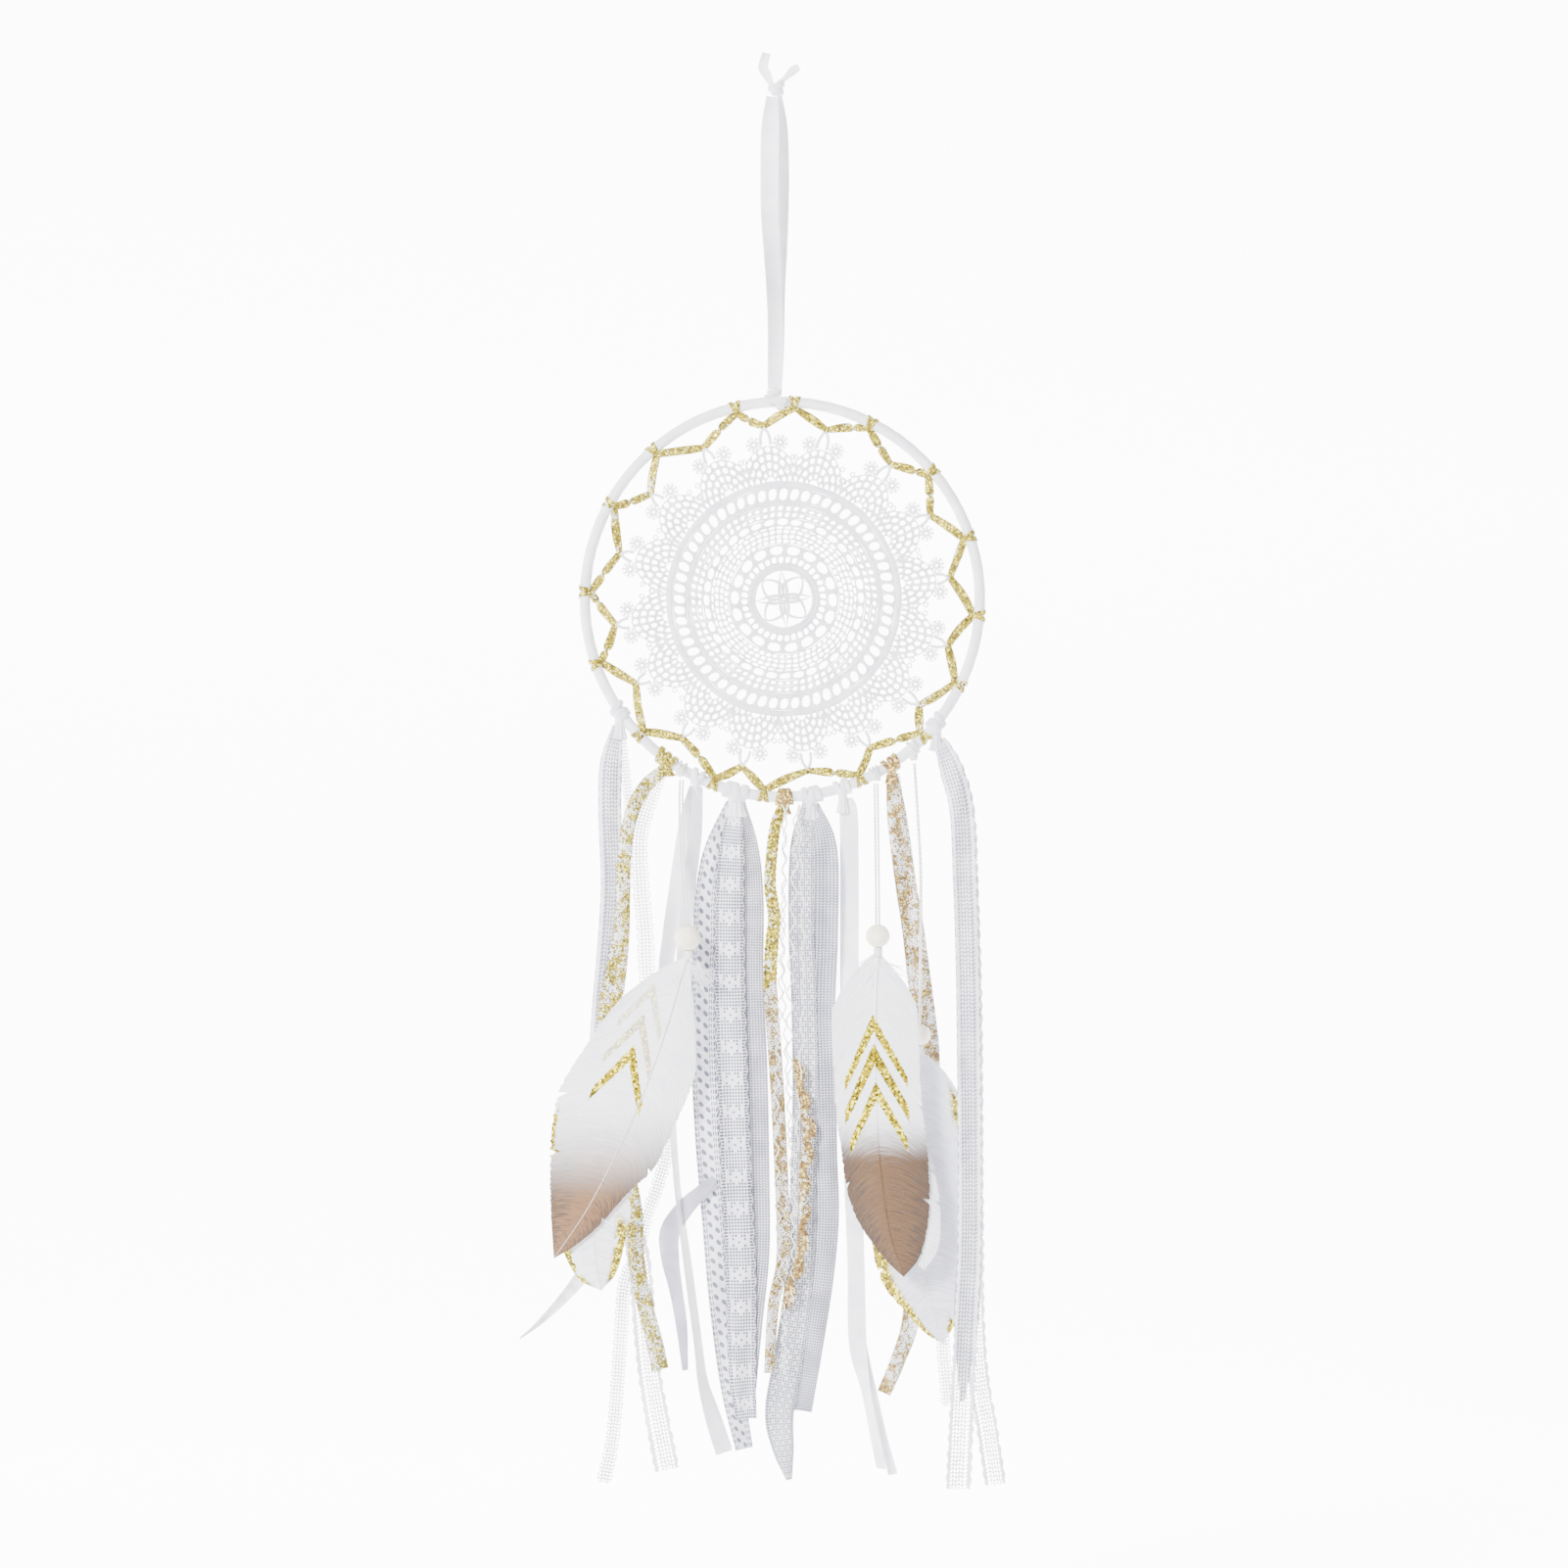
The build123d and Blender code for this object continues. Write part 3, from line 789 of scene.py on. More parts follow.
# column widths, row pitch, rows in a repeat, pattern, zigzag, scalloped edge (reach, rows, left,
# right), 1 if rounded, thickness; lengths in mm
WEAVES = {
    "trim": ([0.9, 1.7, 1.7, 1.7, 1.7, 2.6, 1.2], 2.0, 10, open_trim, 0.5, (1.3, 3, 1, 1), 1, 0.5),
    "trim_left": (
        [1.2, 2.6, 1.7, 1.7, 1.7, 1.7, 0.9], 2.0, 10, mirrored_trim, 0.5, (1.3, 3, 1, 1), 1, 0.5),
    "eyelet": ([1.2, 1.2, 3.0, 0.9, 3.0, 1.2, 1.2, 1.2], 3.0, 6, eyelet_net, 0.5, (0.7, 3, 1, 1), 1, 0.45),
    "flower": ([1.7] * 9, 1.6, 10, flower_net, 0.0, (1.6, 5, 1, 1), 1, 0.5),
    "net": ([1.35] * 10, 1.35, 6, every_cell(0.13), 0.5, None, 0, 0.3),
    "dots": ([1.3] * 10, 1.35, 4, dot_net, 0.5, (0.6, 4, 1, 1), 0, 0.35),
    "narrow": ([1.6] * 4, 1.7, 6, every_cell(0.2), 0.5, (0.8, 3, 1, 1), 0, 0.4),
    "ladder": ([1.0, 1.0, 1.1, 1.0, 1.0], 1.15, 12, ladder, 0.5, (0.7, 3, 1, 1), 0, 0.5),
    "wide_ladder": ([1.1] * 7, 1.2, 12, ladder, 0.5, (0.9, 4, 1, 1), 0, 0.5),
    "wave": ([1.2, 1.3, 1.3], 1.4, 10, wave_holes, 0.0, (3.2, 10, 0, 1), 1, 0.6),
    "ribbon": ([1.0, 2.3, 2.4, 2.3, 1.0], 4.0, 6, every_cell(0.0), 0.0, None, 1, 0.35),
    # a plain sheet that hangs behind lace as painted shade
    "under": ([2.4] * 5, 2.4, 6, every_cell(0.0), 0.0, None, 0, 0.2),
    "sequins": ([1.4, 1.6, 1.6, 1.4], 1.5, 6, every_cell(0.0), 0.4, (0.9, 2, 1, 1), 1, 0.6),
}
print("weaves", len(WEAVES))

# %% [markdown]
# Every hanging strip is a table row: the body it moves with, its route from the knot down as
# (x, z, width) in mm, its weave and its finish. The first centimetres stay with the hoop and
# the rest swings, so a strip bends at its knot instead of tearing. Open lace over more lace
# looks darker between its threads, so a plain darker sheet of painted shade hangs behind the
# full bunches.

# %% Strips
# node: (body, weave, finish, slot, full width, tilt, root depth, route)
STRIPS = {
    "far_left_lace": ("far_left_lace_strips", "trim_left", trim_thread, "lace_white", 12, 0, 0, [
        (-77, -311, 5), (-80.5, -330, 11), (-81, -354, 11.5), (-80, -388, 11), (-81.5, -417, 11),
        (-86, -475, 10.5), (-82, -513, 11), (-73, -547, 11.5), (-66.5, -576, 12), (-64, -605, 12),
        (-61.5, -630, 12), (-57.5, -654, 12.5), (-52.7, -679, 13)]),
    "far_left_thin_ribbon": ("far_left_lace_strips", "narrow", cord_cotton, "cotton_cord", 5, 0, 0, [
        (-75, -311, 3), (-73, -335, 5), (-71.5, -354, 5), (-72.5, -388, 4.5), (-75.5, -436, 4.5),
        (-77, -485, 4)]),
    "left_gold_lace": ("left_gold_strips", "ladder", lurex_strip, "gold_lurex", 8, 0, 0, [
        (-54.5, -333, 6), (-64, -342, 7), (-70.5, -356, 7), (-74, -378, 7), (-75, -412, 8),
        (-78.5, -436, 11), (-82, -458, 10), (-80, -494, 7.5), (-72.5, -528, 7), (-68.6, -552, 8),
        (-67.6, -576, 8), (-63.8, -596, 8), (-59, -615, 8.5), (-56, -629, 8.5)]),
    "left_eyelet_lace": ("left_gold_strips", "narrow", trim_thread, "lace_white", 8, 0, 0, [
        (-55, -333, 6), (-61.5, -349, 8), (-66, -366, 8), (-65.5, -390, 8.5), (-63.5, -412, 8.5),
        (-62.3, -436, 8.5), (-57, -480, 7), (-53.1, -518, 6.5), (-57.5, -539, 6.5), (-63, -554, 6.5),
        (-67, -571, 6.5), (-73.4, -586, 7), (-75.8, -616, 7), (-77.3, -638, 7), (-79.7, -664, 7),
        (-84, -685, 7.5)]),
    "left_satin_ribbon": ("left_satin_strips", "ribbon", satin, "satin_white", 8.7, 1, 0, [
        (-38.6, -341, 6), (-42.5, -360, 8.5), (-48.3, -398, 8.5), (-51.2, -417, 7.7), (-53, -436, 7),
        (-51.2, -484.5, 4), (-47.8, -533, 3), (-44.9, -557, 3.4), (-41, -586, 4), (-37.2, -615, 4),
        (-34.8, -634, 5), (-30, -651, 7.7), (-24.2, -669, 8.7)]),
    "left_satin_short": ("left_satin_strips", "ribbon", satin, "satin_white", 7, 1, 0, [
        (-37.4, -341, 5), (-38.2, -364, 5.8), (-41.5, -388, 6.8), (-43.5, -412, 6.8),
        (-45.4, -441, 6.8)]),
    "left_organza": ("left_satin_strips", "ribbon", organza_and_shade_sheet, "organza_grey", 9, 0, -3.6, [
        (-29, -534, 4), (-36, -541, 7), (-44, -549, 9), (-51, -560, 10), (-51, -573, 9),
        (-48.3, -588, 6.8), (-45.4, -606, 5.8), (-43.5, -628.5, 3)]),
    "left_flower_lace": ("left_lace_bunch", "flower", lace_thread, "lace_white", 15.5, 0, 0, [
        (-18.7, -349, 6), (-20.8, -372, 12.5), (-21.7, -397, 14.5), (-21.7, -436, 15.5),
        (-20.3, -484.5, 15.5), (-18.4, -533, 15.5), (-16.4, -581, 15.5), (-15.5, -629, 13.5),
        (-13.5, -653, 10.6)]),
    "left_hole_lace": ("left_lace_bunch", "eyelet", lace_thread, "lace_white", 12.6, 0, 0, [
        (-20.5, -349, 6), (-29, -372, 10.5), (-32.9, -393, 11.6), (-33.8, -417, 12.6),
        (-34.8, -460, 12.6), (-32.9, -509, 12.6), (-29, -557, 12.6), (-25.6, -596, 12.6),
        (-20.3, -638, 11.6), (-14.5, -668, 8.7)]),
    "left_net_lace": ("left_lace_bunch", "net", net_thread, "lace_white", 14, 0, 0, [
        (-17, -349, 6), (-12.6, -372, 10.6), (-11.1, -398, 12.6), (-11.6, -436, 13.5),
        (-10.1, -484.5, 14.5), (-9.2, -533, 14.5), (-8.7, -571, 13.5), (-11.6, -605, 12.6),
        (-13.5, -639, 9.7)]),
    "centre_sequin_trim": ("centre_gold_strips", "sequins", sequin_yellow, "gold_trim", 6.5, 0, -3, [
        (4.9, -350, 5.5), (0.6, -362, 6), (-1.8, -388, 6.3), (0.3, -405, 6.8), (-1, -420, 7.2),
        (-1.9, -441, 6.8)]),
    "centre_lurex_braid": ("centre_gold_strips", "ladder", lurex_pale, "gold_trim", 6.5, 0, -6.6, [
        (-1.9, -437, 6.8), (1.4, -484.5, 6.8), (3.4, -523, 6.8), (4.8, -571, 6.8), (0, -596, 5.8),
        (-2.4, -629.5, 4.8)]),
    "centre_wave_braid": ("centre_gold_strips", "wave", wave_lurex, "gold_trim", 6.5, 0, -7.4, [
        (10.6, -475, 4.8), (13.5, -494, 5.8), (16.4, -513.5, 6.8), (14, -530, 5.8), (14, -552, 5.8),
        (12.6, -571.5, 5.8), (7.7, -586, 5.8), (5.3, -598, 4.8)]),
    "right_scallop_lace": ("right_lace_bunch", "dots", lace_thread, "lace_white", 13.5, 0, 0, [
        (17, -350, 6), (13.8, -372, 11.6), (13.5, -412, 12.6), (14.5, -436, 12.6),
        (15.5, -484.5, 12.6), (14.5, -533, 12.6), (12.6, -581, 13.5), (7.7, -620, 14.5),
        (2.9, -649, 14.5), (4.8, -668, 10.6), (7.7, -682.6, 3)]),
    "right_tulle": ("right_lace_bunch", "net", net_thread, "lace_white", 16.5, 0, 0, [
        (19, -350, 7), (23.2, -372, 16.4), (23.2, -412, 17.4), (22.2, -451, 16.4),
        (23.2, -484.5, 15.5), (24.2, -523, 14.5), (25.1, -552, 14.5), (23.2, -581, 13.5),
        (19.3, -610, 12.6), (14.5, -649, 8.7)]),
    "right_satin_ribbon": ("right_satin_strips", "ribbon", satin, "satin_white", 9.2, -1, 0, [
        (35.4, -347, 7), (37.2, -361, 9.2), (37.4, -437, 9.2), (37.7, -484.5, 8.9), (39.1, -533, 8.7),
        (40.6, -576, 8.4), (41.5, -616, 8.8), (45.4, -639, 4.8), (49.3, -658.5, 4.8),
        (53.1, -678, 4.8)]),
    "right_satin_tail": ("right_satin_strips", "ribbon", satin, "satin_white", 5.5, -1, 2.2, [
        (42.5, -610, 4.8), (45, -624, 4.8), (49.8, -644, 4.3), (54.1, -663, 4.3), (58.9, -681, 4.8)]),
    "right_gold_lace": ("right_gold_strips", "wide_ladder", lurex_pale, "gold_lurex", 10.5, 0, 0, [
        (58.4, -335, 6), (61.3, -358, 10), (65.2, -388, 10.6), (69, -412, 11), (72, -436, 11.6),
        (74.9, -458, 11.6), (77, -478, 10.6), (75.4, -513, 9.7), (70.5, -562, 8.7), (68, -604, 8.7),
        (61.8, -624.6, 7.7), (54.6, -641.6, 6.8)]),
    "right_dotted_lace": ("right_gold_strips", "narrow", lace_thread, "lace_white", 6.5, 0, 0, [
        (60, -335, 5), (66.6, -388, 6), (74.5, -436, 6), (78, -480, 6), (79.7, -533, 6),
        (82, -581, 6.8), (84, -619, 6.8), (86.5, -648, 6.8)]),
    "far_right_lace": ("far_right_lace_strips", "trim", trim_thread, "lace_white", 12.2, 0, 0, [
        (81.5, -318, 6), (87.5, -333, 11.5), (92.5, -353, 12), (94.2, -388, 12), (95.2, -416, 12),
        (96, -458, 12), (96.6, -557, 12), (94.7, -605, 12), (92.8, -644, 12.6), (90.8, -687, 13)]),
    "far_right_under_lace": ("far_right_lace_strips", "trim_left", trim_thread, "lace_white", 11.5, 0, 0, [
        (82.5, -318, 6), (88.5, -333, 11), (93.6, -353, 11.5), (95.4, -388, 11.5), (97.4, -458, 11.5),
        (98, -557, 11.5), (98.2, -596, 11.5), (100.5, -629.5, 11), (105.3, -658.5, 11),
        (109.2, -685, 11)]),
}
# strip: the finish of the darker sheet behind it, which is painted shade
SHADE_SHEETS = {
    "left_flower_lace": under_net, "left_hole_lace": under_net, "left_net_lace": under_net,
    "right_scallop_lace": under_net, "right_tulle": under_net, "left_gold_lace": under_gold,
    "right_gold_lace": under_gold, "centre_lurex_braid": under_gold,
    "far_left_lace": organza_and_shade_sheet, "far_right_lace": organza_and_shade_sheet,
}
# The painted-shade sheet behind each far strip reaches only this many route points down.
TOP_ONLY = {"far_left_lace": 8, "far_right_lace": 8}  # how many route points the under layer has
BEND = 0.03  # how much of a strip bends at its knot
# The painted-shade sheets are a little narrower than their strips.
SHADE_SHEET_SHARE = 0.9  # an under layer's width, as a share of its strip's
KNOTTED = (0, -3)  # root depths of the strips that are tied to the hoop themselves


def node_depth(node):
    """The depth in Y of a CAD strip, in mm."""
    lowest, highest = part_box(node)
    return (lowest[1] + highest[1]) / 2 / MM


def hang(piece, body, root, route):
    """Bend a strip between the hoop and its body, or let it swing whole if it starts lower."""
    top = Vector((route[0][0] * MM, 0, route[0][1] * MM))
    if root in KNOTTED:
        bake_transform(piece, "hoop", body, start=top, end=top - Vector((0, 0, BEND)))
    else:
        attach(piece, body)


total = 0
for seed, (node, row) in enumerate(STRIPS.items()):
    body, weave, finish, slot, full, tilt, root, route = row
    _, length = even_line(route, 400)
    piece = flat_lace(WEAVES[weave], length)
    length = lay_along(piece, route, node_depth(node), full, tilt=tilt, root_depth=root, seed=seed)
    finish_piece(piece, node + "_cloth", finish)
    flat = (max(full * MM, 0.01), length)
    full * MM * length
    hang(piece, body, root, route)
    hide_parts(node)
    total += len(piece.data.polygons)
    # A plain darker sheet behind the strip: painted shade between its threads.
    if node in SHADE_SHEETS:
        if node in TOP_ONLY:
            x, z, _ = route[TOP_ONLY[node]]
            route = route[: TOP_ONLY[node]] + [(x, z, 2)]
        length = even_line(route, 400)[1] * MM
        under = flat_lace(WEAVES["under"], length / MM)
        lay_along(under, route, node_depth(node) + 0.5, full * SHADE_SHEET_SHARE, root_depth=root)
        finish_piece(under, node + "_under", SHADE_SHEETS[node])
        cut = full * SHADE_SHEET_SHARE * MM
        flat = (max(cut, 0.01), length)
        cut * length
        hang(under, body, root, route)
print("strips", len(STRIPS), "faces", total)

# %% [markdown]
# A loose white yarn is looped down the middle trims. Each strand is a wavy line with a round
# bevel, made into a mesh, and it is stitched to the braid, so it swings with it.

# %% Looped yarn
# middle, swing, wave length, start of the wave and lower end of each strand
YARNS = [
    (6.5, 0.9, 9, 1.0, -596), (9.5, 1.6, 14, 2.2, -560),
    (3.0, 1.2, 11, 3.1, -628), (12, 0.8, 17, 4.2, -520),
]
yarn_lines = []
for offset, swing, wave_length, start, bottom in YARNS:
    z = np.arange(-350, bottom, -1.5)
    drift = 2.2 * np.sin(z / 47 + start) + offset - 0.0036 * (z + 350)
    turn = z / wave_length * math.tau + start
    x = drift + swing * np.sin(turn)
    y = -8.0 + 0.7 * np.cos(turn) + np.clip((z + 362) / 4, 0, 3)
    yarn_lines.append(np.stack([x, y, z], 1) * MM)
yarn = wound_tube("centre_yarn_loops", yarn_lines, 0.00038, 1)
finish_piece(yarn, "centre_yarn_loops", cord_cotton)
knot_top = Vector((0.0045, 0, -0.349))
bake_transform(yarn, "hoop", "centre_gold_strips", start=knot_top, end=knot_top - Vector((0, 0, BEND)))
print("yarn strands", len(yarn_lines))

# %% [markdown]
# A ribbon is a grid with the shape of its path: each row of points is laid across the path,
# rolled about it, and the grid is then given its thickness. The hanging loop, its tails and
# the lacing are all ribbons like this.

# %% Ribbons


def ribbon(name, path, widths, rolls, thickness=0.0004, across=4, curl=0.0):
    """A ribbon along a path in metres. A roll of 0 shows its face to the front."""
    path = np.array(path, float)
    count = len(path)
    obj, i, j = grid(across, count - 1)
    heading = np.gradient(path, axis=0)
    heading /= np.linalg.norm(heading, axis=1)[:, None]
    side = np.cross(heading, (0, -1, 0))
    side /= np.linalg.norm(side, axis=1)[:, None]
    up = np.cross(side, heading)
    widths = np.broadcast_to(widths, count)
    rolls = np.broadcast_to(rolls, count)
    out = i / across - 0.5
    roll = rolls[j][:, None]
    flat = np.cos(roll) * side[j] + np.sin(roll) * up[j]
    proud = -np.sin(roll) * side[j] + np.cos(roll) * up[j]
    lift = curl * (0.25 - out**2) * 4
    write(obj, path[j] + flat * (out * widths[j])[:, None] + proud * lift[:, None])
    run = np.concatenate([[0], np.cumsum(np.linalg.norm(np.diff(path, axis=0), axis=1))])
    uv_from(obj, out * widths[j], run[j])
    apply_modifier(obj, "SOLIDIFY", thickness=thickness, offset=0)
    obj.name = name
    return obj


def joined(name, pieces):
    """One object from several."""
    bpy.ops.object.select_all(action="DESELECT")
    for piece in pieces:
        piece.select_set(True)
    bpy.context.view_layer.objects.active = pieces[0]
    bpy.ops.object.join()
    pieces[0].name = name
    return pieces[0]


def ribbon_sheet(width, length):
    """Multiply a ribbon's width by its length. Declare a ribbon narrower than the narrowest cut
    the frame takes: its area says its width. The product is not kept.
    """
    width * length


HOOP = Vector((4.3, 0, -248.8)) * MM
HOOP_R = 0.0974
TUBE_R = 0.0026


def on_hoop(angle, radius=HOOP_R, depth=0.0):
    """A place at an angle round the hoop's centre."""
    turn = math.radians(angle)
    return Vector((HOOP.x + radius * math.cos(turn), depth, HOOP.z + radius * math.sin(turn)))


def hoop_tangent(angle):
    """The way the hoop runs at an angle."""
    return Vector((math.sin(math.radians(angle)), 0, -math.cos(math.radians(angle))))


print("ribbon helper ready")

# %% [markdown]
# The hanging loop is one satin ribbon. Two strands lie one behind the other and bow apart
# from the side. They turn with the knot at the top and stay still at the hoop, so they twist.

# %% Hanging loop
# how far a strand bows out, at each depth below the knot, in mm
BOW = [(0.5, 0.6), (2.6, 10), (3.2, 30), (3.2, 60), (2.6, 100), (1.5, 125), (0.6, 145.3)]
STRAND_STEPS = 90
STRANDS = {
    "hanger_ribbon_front": (-1, [
        (-0.6, -0.6, 6), (-1.7, -18, 9.2), (-2.0, -43, 9.2), (-1.7, -60, 9.2), (-0.5, -80, 9.2),
        (0.9, -111, 8.6), (1.0, -129, 8), (0.5, -145.3, 7)]),
    "hanger_ribbon_back": (1, [
        (1.4, -0.6, 6), (2.9, -18, 9.2), (3.5, -40, 9.2), (2.9, -56, 9.2), (2.2, -76, 9.2),
        (1.4, -100, 8.6), (1.2, -124, 8), (0.5, -145.3, 7)]),
}
bow, below = zip(*BOW)
for node, (sign, line) in STRANDS.items():
    line, length = even_line(line, STRAND_STEPS)
    y = sign * np.interp(-line[:, 1], below, bow)
    path = np.stack([line[:, 0], y, line[:, 1]], 1) * MM
    rolls = sign * 0.35 * np.sin(np.linspace(0.3, 7.0, STRAND_STEPS)) + 0.12
    strand = ribbon(node + "_satin", path, line[:, 2] * MM, rolls, 0.0004, 6, curl=-0.0006)
    round_off(strand)
    finish_piece(strand, node + "_satin", satin)
    ribbon_sheet(0.0089, length * MM)
    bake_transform(strand, "hanger", "hitch", start=(0.001, 0, -0.004), end=(0.001, 0, -0.14))
    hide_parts(node)

TAIL_STEPS = 22
# route and widths of each cut tail, in mm
TAILS = {
    "left": ([(-0.5, 0, 4.0), (-3.0, 0.8, 9.5), (-5.2, 0.3, 14), (-3.4, 0.9, 21)], [3, 5.2, 5.4, 4.2]),
    "right": ([(2.5, 0, 5.5), (7.2, -0.8, 9.6), (9.8, -0.5, 12.2), (12.4, -0.9, 13.6)], [3, 4.6, 5, 3.6]),
}
tails = []
for tail, (line, widths) in TAILS.items():
    path = smooth_line(line, TAIL_STEPS) * MM
    width = np.interp(np.linspace(0, 3, TAIL_STEPS), range(4), widths) * MM
    rolls = np.linspace(0.9, 0.1, TAIL_STEPS)
    tails.append(ribbon(tail, path, width, rolls, curl=-0.0008))
tails = joined("knot_tails_satin", tails)
round_off(tails)
finish_piece(tails, "knot_tails_satin", satin)
ribbon_sheet(0.0046, 0.032)
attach(tails, "hanger")
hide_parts("knot_tails")
print("loop and tails made")

# %% [markdown]
# A knot is a ribbon going round and over itself. Tracing one ribbon through it would be hard to
# keep clear of itself, so each knot is a few short ribbon turns, crossed at an angle, over a
# soft core that fills the gaps.

# %% Knots


def folded_tube(around, along, shape):
    """A closed tube from a cylinder. shape(turn, height) gives its points, height from 0 to 1."""
    bpy.ops.object.select_all(action="DESELECT")
    bpy.ops.mesh.primitive_cylinder_add(vertices=around, radius=1, depth=2, end_fill_type="NGON")
    obj = bpy.context.active_object
    select_edges(obj, lambda a, b: abs(a.z - b.z) > 1)
    bpy.ops.mesh.subdivide(number_cuts=along - 1)
    bpy.ops.object.mode_set(mode="OBJECT")
    points = read(obj)
    turn = np.arctan2(points[:, 1], points[:, 0])
    height = (points[:, 2] + 1) / 2
    write(obj, shape(turn, height))
    uv_from(obj, turn * 0.004, height * 0.01)
    outwards(obj)
    return obj


def core(centre, radii, seed):
    """A soft lump: a sphere pressed out of round."""
    bpy.ops.object.select_all(action="DESELECT")
    bpy.ops.mesh.primitive_uv_sphere_add(segments=20, ring_count=12, radius=1)
    obj = bpy.context.active_object
    points = read(obj)
    x, y, z = points.T
    turn = np.arctan2(x, z)
    fold = 1 + 0.07 * np.sin(5 * turn + seed) + 0.05 * np.sin(9 * x + 4 * z + seed)
    write(obj, points * fold[:, None] * np.array(radii) * MM + np.array(centre) * MM)
    uv_from(obj, turn * 0.003, y * 0.003)
    return obj


def wrap_turn(centre, radii, tilt, width, seed):
    """A flat band round a lump: a tube wall, wider than it is thick."""
    lean = np.array(Matrix.Rotation(math.radians(tilt), 3, "Y"))

    def shape(turn, height):
        belly = 1 + 0.10 * np.sin(math.pi * height) + 0.02 * np.sin(3 * turn + seed)
        x = np.cos(turn) * radii[0] * belly
        y = np.sin(turn) * radii[1] * belly
        z = (height - 0.5) * width + 0.2 * np.sin(2 * turn + seed)
        return (np.stack([x, y, z], 1) @ lean.T + np.array(centre)) * MM

    return folded_tube(24, 5, shape)


top_knot = joined("top_knot_satin", [
    core((1.2, 0, 2.6), (3.6, 3.0, 3.2), 1),
    wrap_turn((1.0, 0, 2.2), (3.9, 3.2), 24, 3.4, 0.5),
    wrap_turn((2.2, 0, 4.0), (3.0, 2.8), -38, 3.0, 2.0),
    core((3.4, 0, 5.4), (2.3, 2.2, 2.2), 2),
])
round_off(top_knot)
finish_piece(top_knot, "top_knot_satin", satin)
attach(top_knot, "hanger")
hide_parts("top_knot")

# two turns stand on the hoop, a bar crosses them in front, and a neck gathers the strands
HITCH_TURN = 2.9
hitch_at = on_hoop(92.2) / MM
hitch = joined("hoop_hitch_satin", [
    wrap_turn((hitch_at.x - HITCH_TURN, 0, hitch_at.z), (3.7, 3.7), 0, 4.6, 0),
    wrap_turn((hitch_at.x + HITCH_TURN, 0, hitch_at.z), (3.7, 3.7), 0, 4.6, 1),
])
middle = np.array(hitch_at) * MM
local = read(hitch) - middle
left = local[:, 0] < 0
for side, shift in ((left, -HITCH_TURN * MM), (~left, HITCH_TURN * MM)):
    x = local[side, 0] - shift
    z = local[side, 2]
    local[side, 0] = shift + z
    local[side, 2] = -x
write(hitch, local + middle)


def bar_shape(turn, height):
    """The bar of the hitch: a flat tube that lies across its two turns."""
    deep = 0.0008 * (1 + 0.1 * np.sin(20 * height))
    tall = 0.0019 * (0.82 + 0.22 * np.sin(math.pi * height))
    return np.stack([
        hitch_at.x * MM + (height - 0.5) * 0.0116,
        -0.0042 + np.cos(turn) * deep,
        (hitch_at.z + 0.6) * MM + np.sin(turn) * tall,
    ], 1)


bar = folded_tube(20, 8, bar_shape)
neck = core((hitch_at.x, 0, hitch_at.z + 4.9), (3.9, 1.7, 2.3), 3)
hitch = joined("hoop_hitch_satin", [hitch, bar, neck])
round_off(hitch)
finish_piece(hitch, "hoop_hitch_satin", satin)
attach(hitch, "hitch")
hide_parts("hoop_hitch")
print("top knot and hitch made")

# %% [markdown]
# The hoop is steel wire wound with white ribbon. A torus gets a shallow saw-tooth that runs
# round it like a screw thread: each turn of ribbon laps over the edge of the one before.

# %% Wound hoop
TURNS = 78
bpy.ops.object.select_all(action="DESELECT")
bpy.ops.mesh.primitive_torus_add(
    major_segments=8 * TURNS, minor_segments=20, major_radius=HOOP_R, minor_radius=TUBE_R,
)
wrap = bpy.context.active_object
points = read(wrap)
round_hoop = np.arctan2(points[:, 1], points[:, 0])
flat_radius = np.hypot(points[:, 0], points[:, 1])
round_tube = np.arctan2(points[:, 2], flat_radius - HOOP_R)
lap = (round_hoop * TURNS / math.tau + round_tube / math.tau) % 1.0
radius = TUBE_R * (1 + 0.07 * lap + 0.015 * np.sin(7 * round_hoop + 1))
outward = HOOP_R + radius * np.cos(round_tube)
write(wrap, np.stack([
    HOOP.x + outward * np.cos(round_hoop),
    -radius * np.sin(round_tube),
    HOOP.z + outward * np.sin(round_hoop),
], 1))
uv_from(wrap, round_tube * TUBE_R, round_hoop * HOOP_R)
outwards(wrap)
finish_piece(wrap, "hoop_wrap_ribbon", wrap_cloth)
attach(wrap, "hoop")
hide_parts("hoop_wrap")
print("hoop faces", len(wrap.data.polygons))

# %% [markdown]
# The doily is crochet: a star and leaves in the middle, rounds of holes, then a scalloped edge
# of fans with a small rosette on each shoulder. Laying thread stitch by stitch would need a
# million faces, so each round is a grid bent into a ring and opened like the lace. Rounded
# after it gets its thickness, what is left between the holes looks like thread.

# %% Doily


def bent_grid(across, along, place, shares, unit, thickness, closed):
    """A grid bent by place(u, v), u and v from 0 to 1, with its cells opened."""
    obj, i, j = grid(across, along)
    share_list = [shares(column, row) for column, row in cells(obj, across, along)]
    write(obj, place(i / across, j / along))
    if closed:
        alone(obj)
        bpy.ops.object.mode_set(mode="EDIT")
        bpy.ops.mesh.select_all(action="SELECT")
        bpy.ops.mesh.remove_doubles(threshold=0.000005)
        bpy.ops.object.mode_set(mode="OBJECT")
    open_cells(obj, share_list, unit)
    apply_modifier(obj, "SOLIDIFY", thickness=thickness, offset=0)
    return obj


DOILY = (5.0, 0.0, -248.6)
CROCHET = 0.0010  # the thickness of its thread


def on_doily(heading, side, out):
    """Places at a distance out from the doily's middle and aside, in mm."""
    return np.stack([
        (DOILY[0] + out * math.cos(heading) - side * math.sin(heading)) * MM,
        np.full(len(side), DOILY[1]) * MM,
        (DOILY[2] + out * math.sin(heading) + side * math.cos(heading)) * MM,
    ], 1)


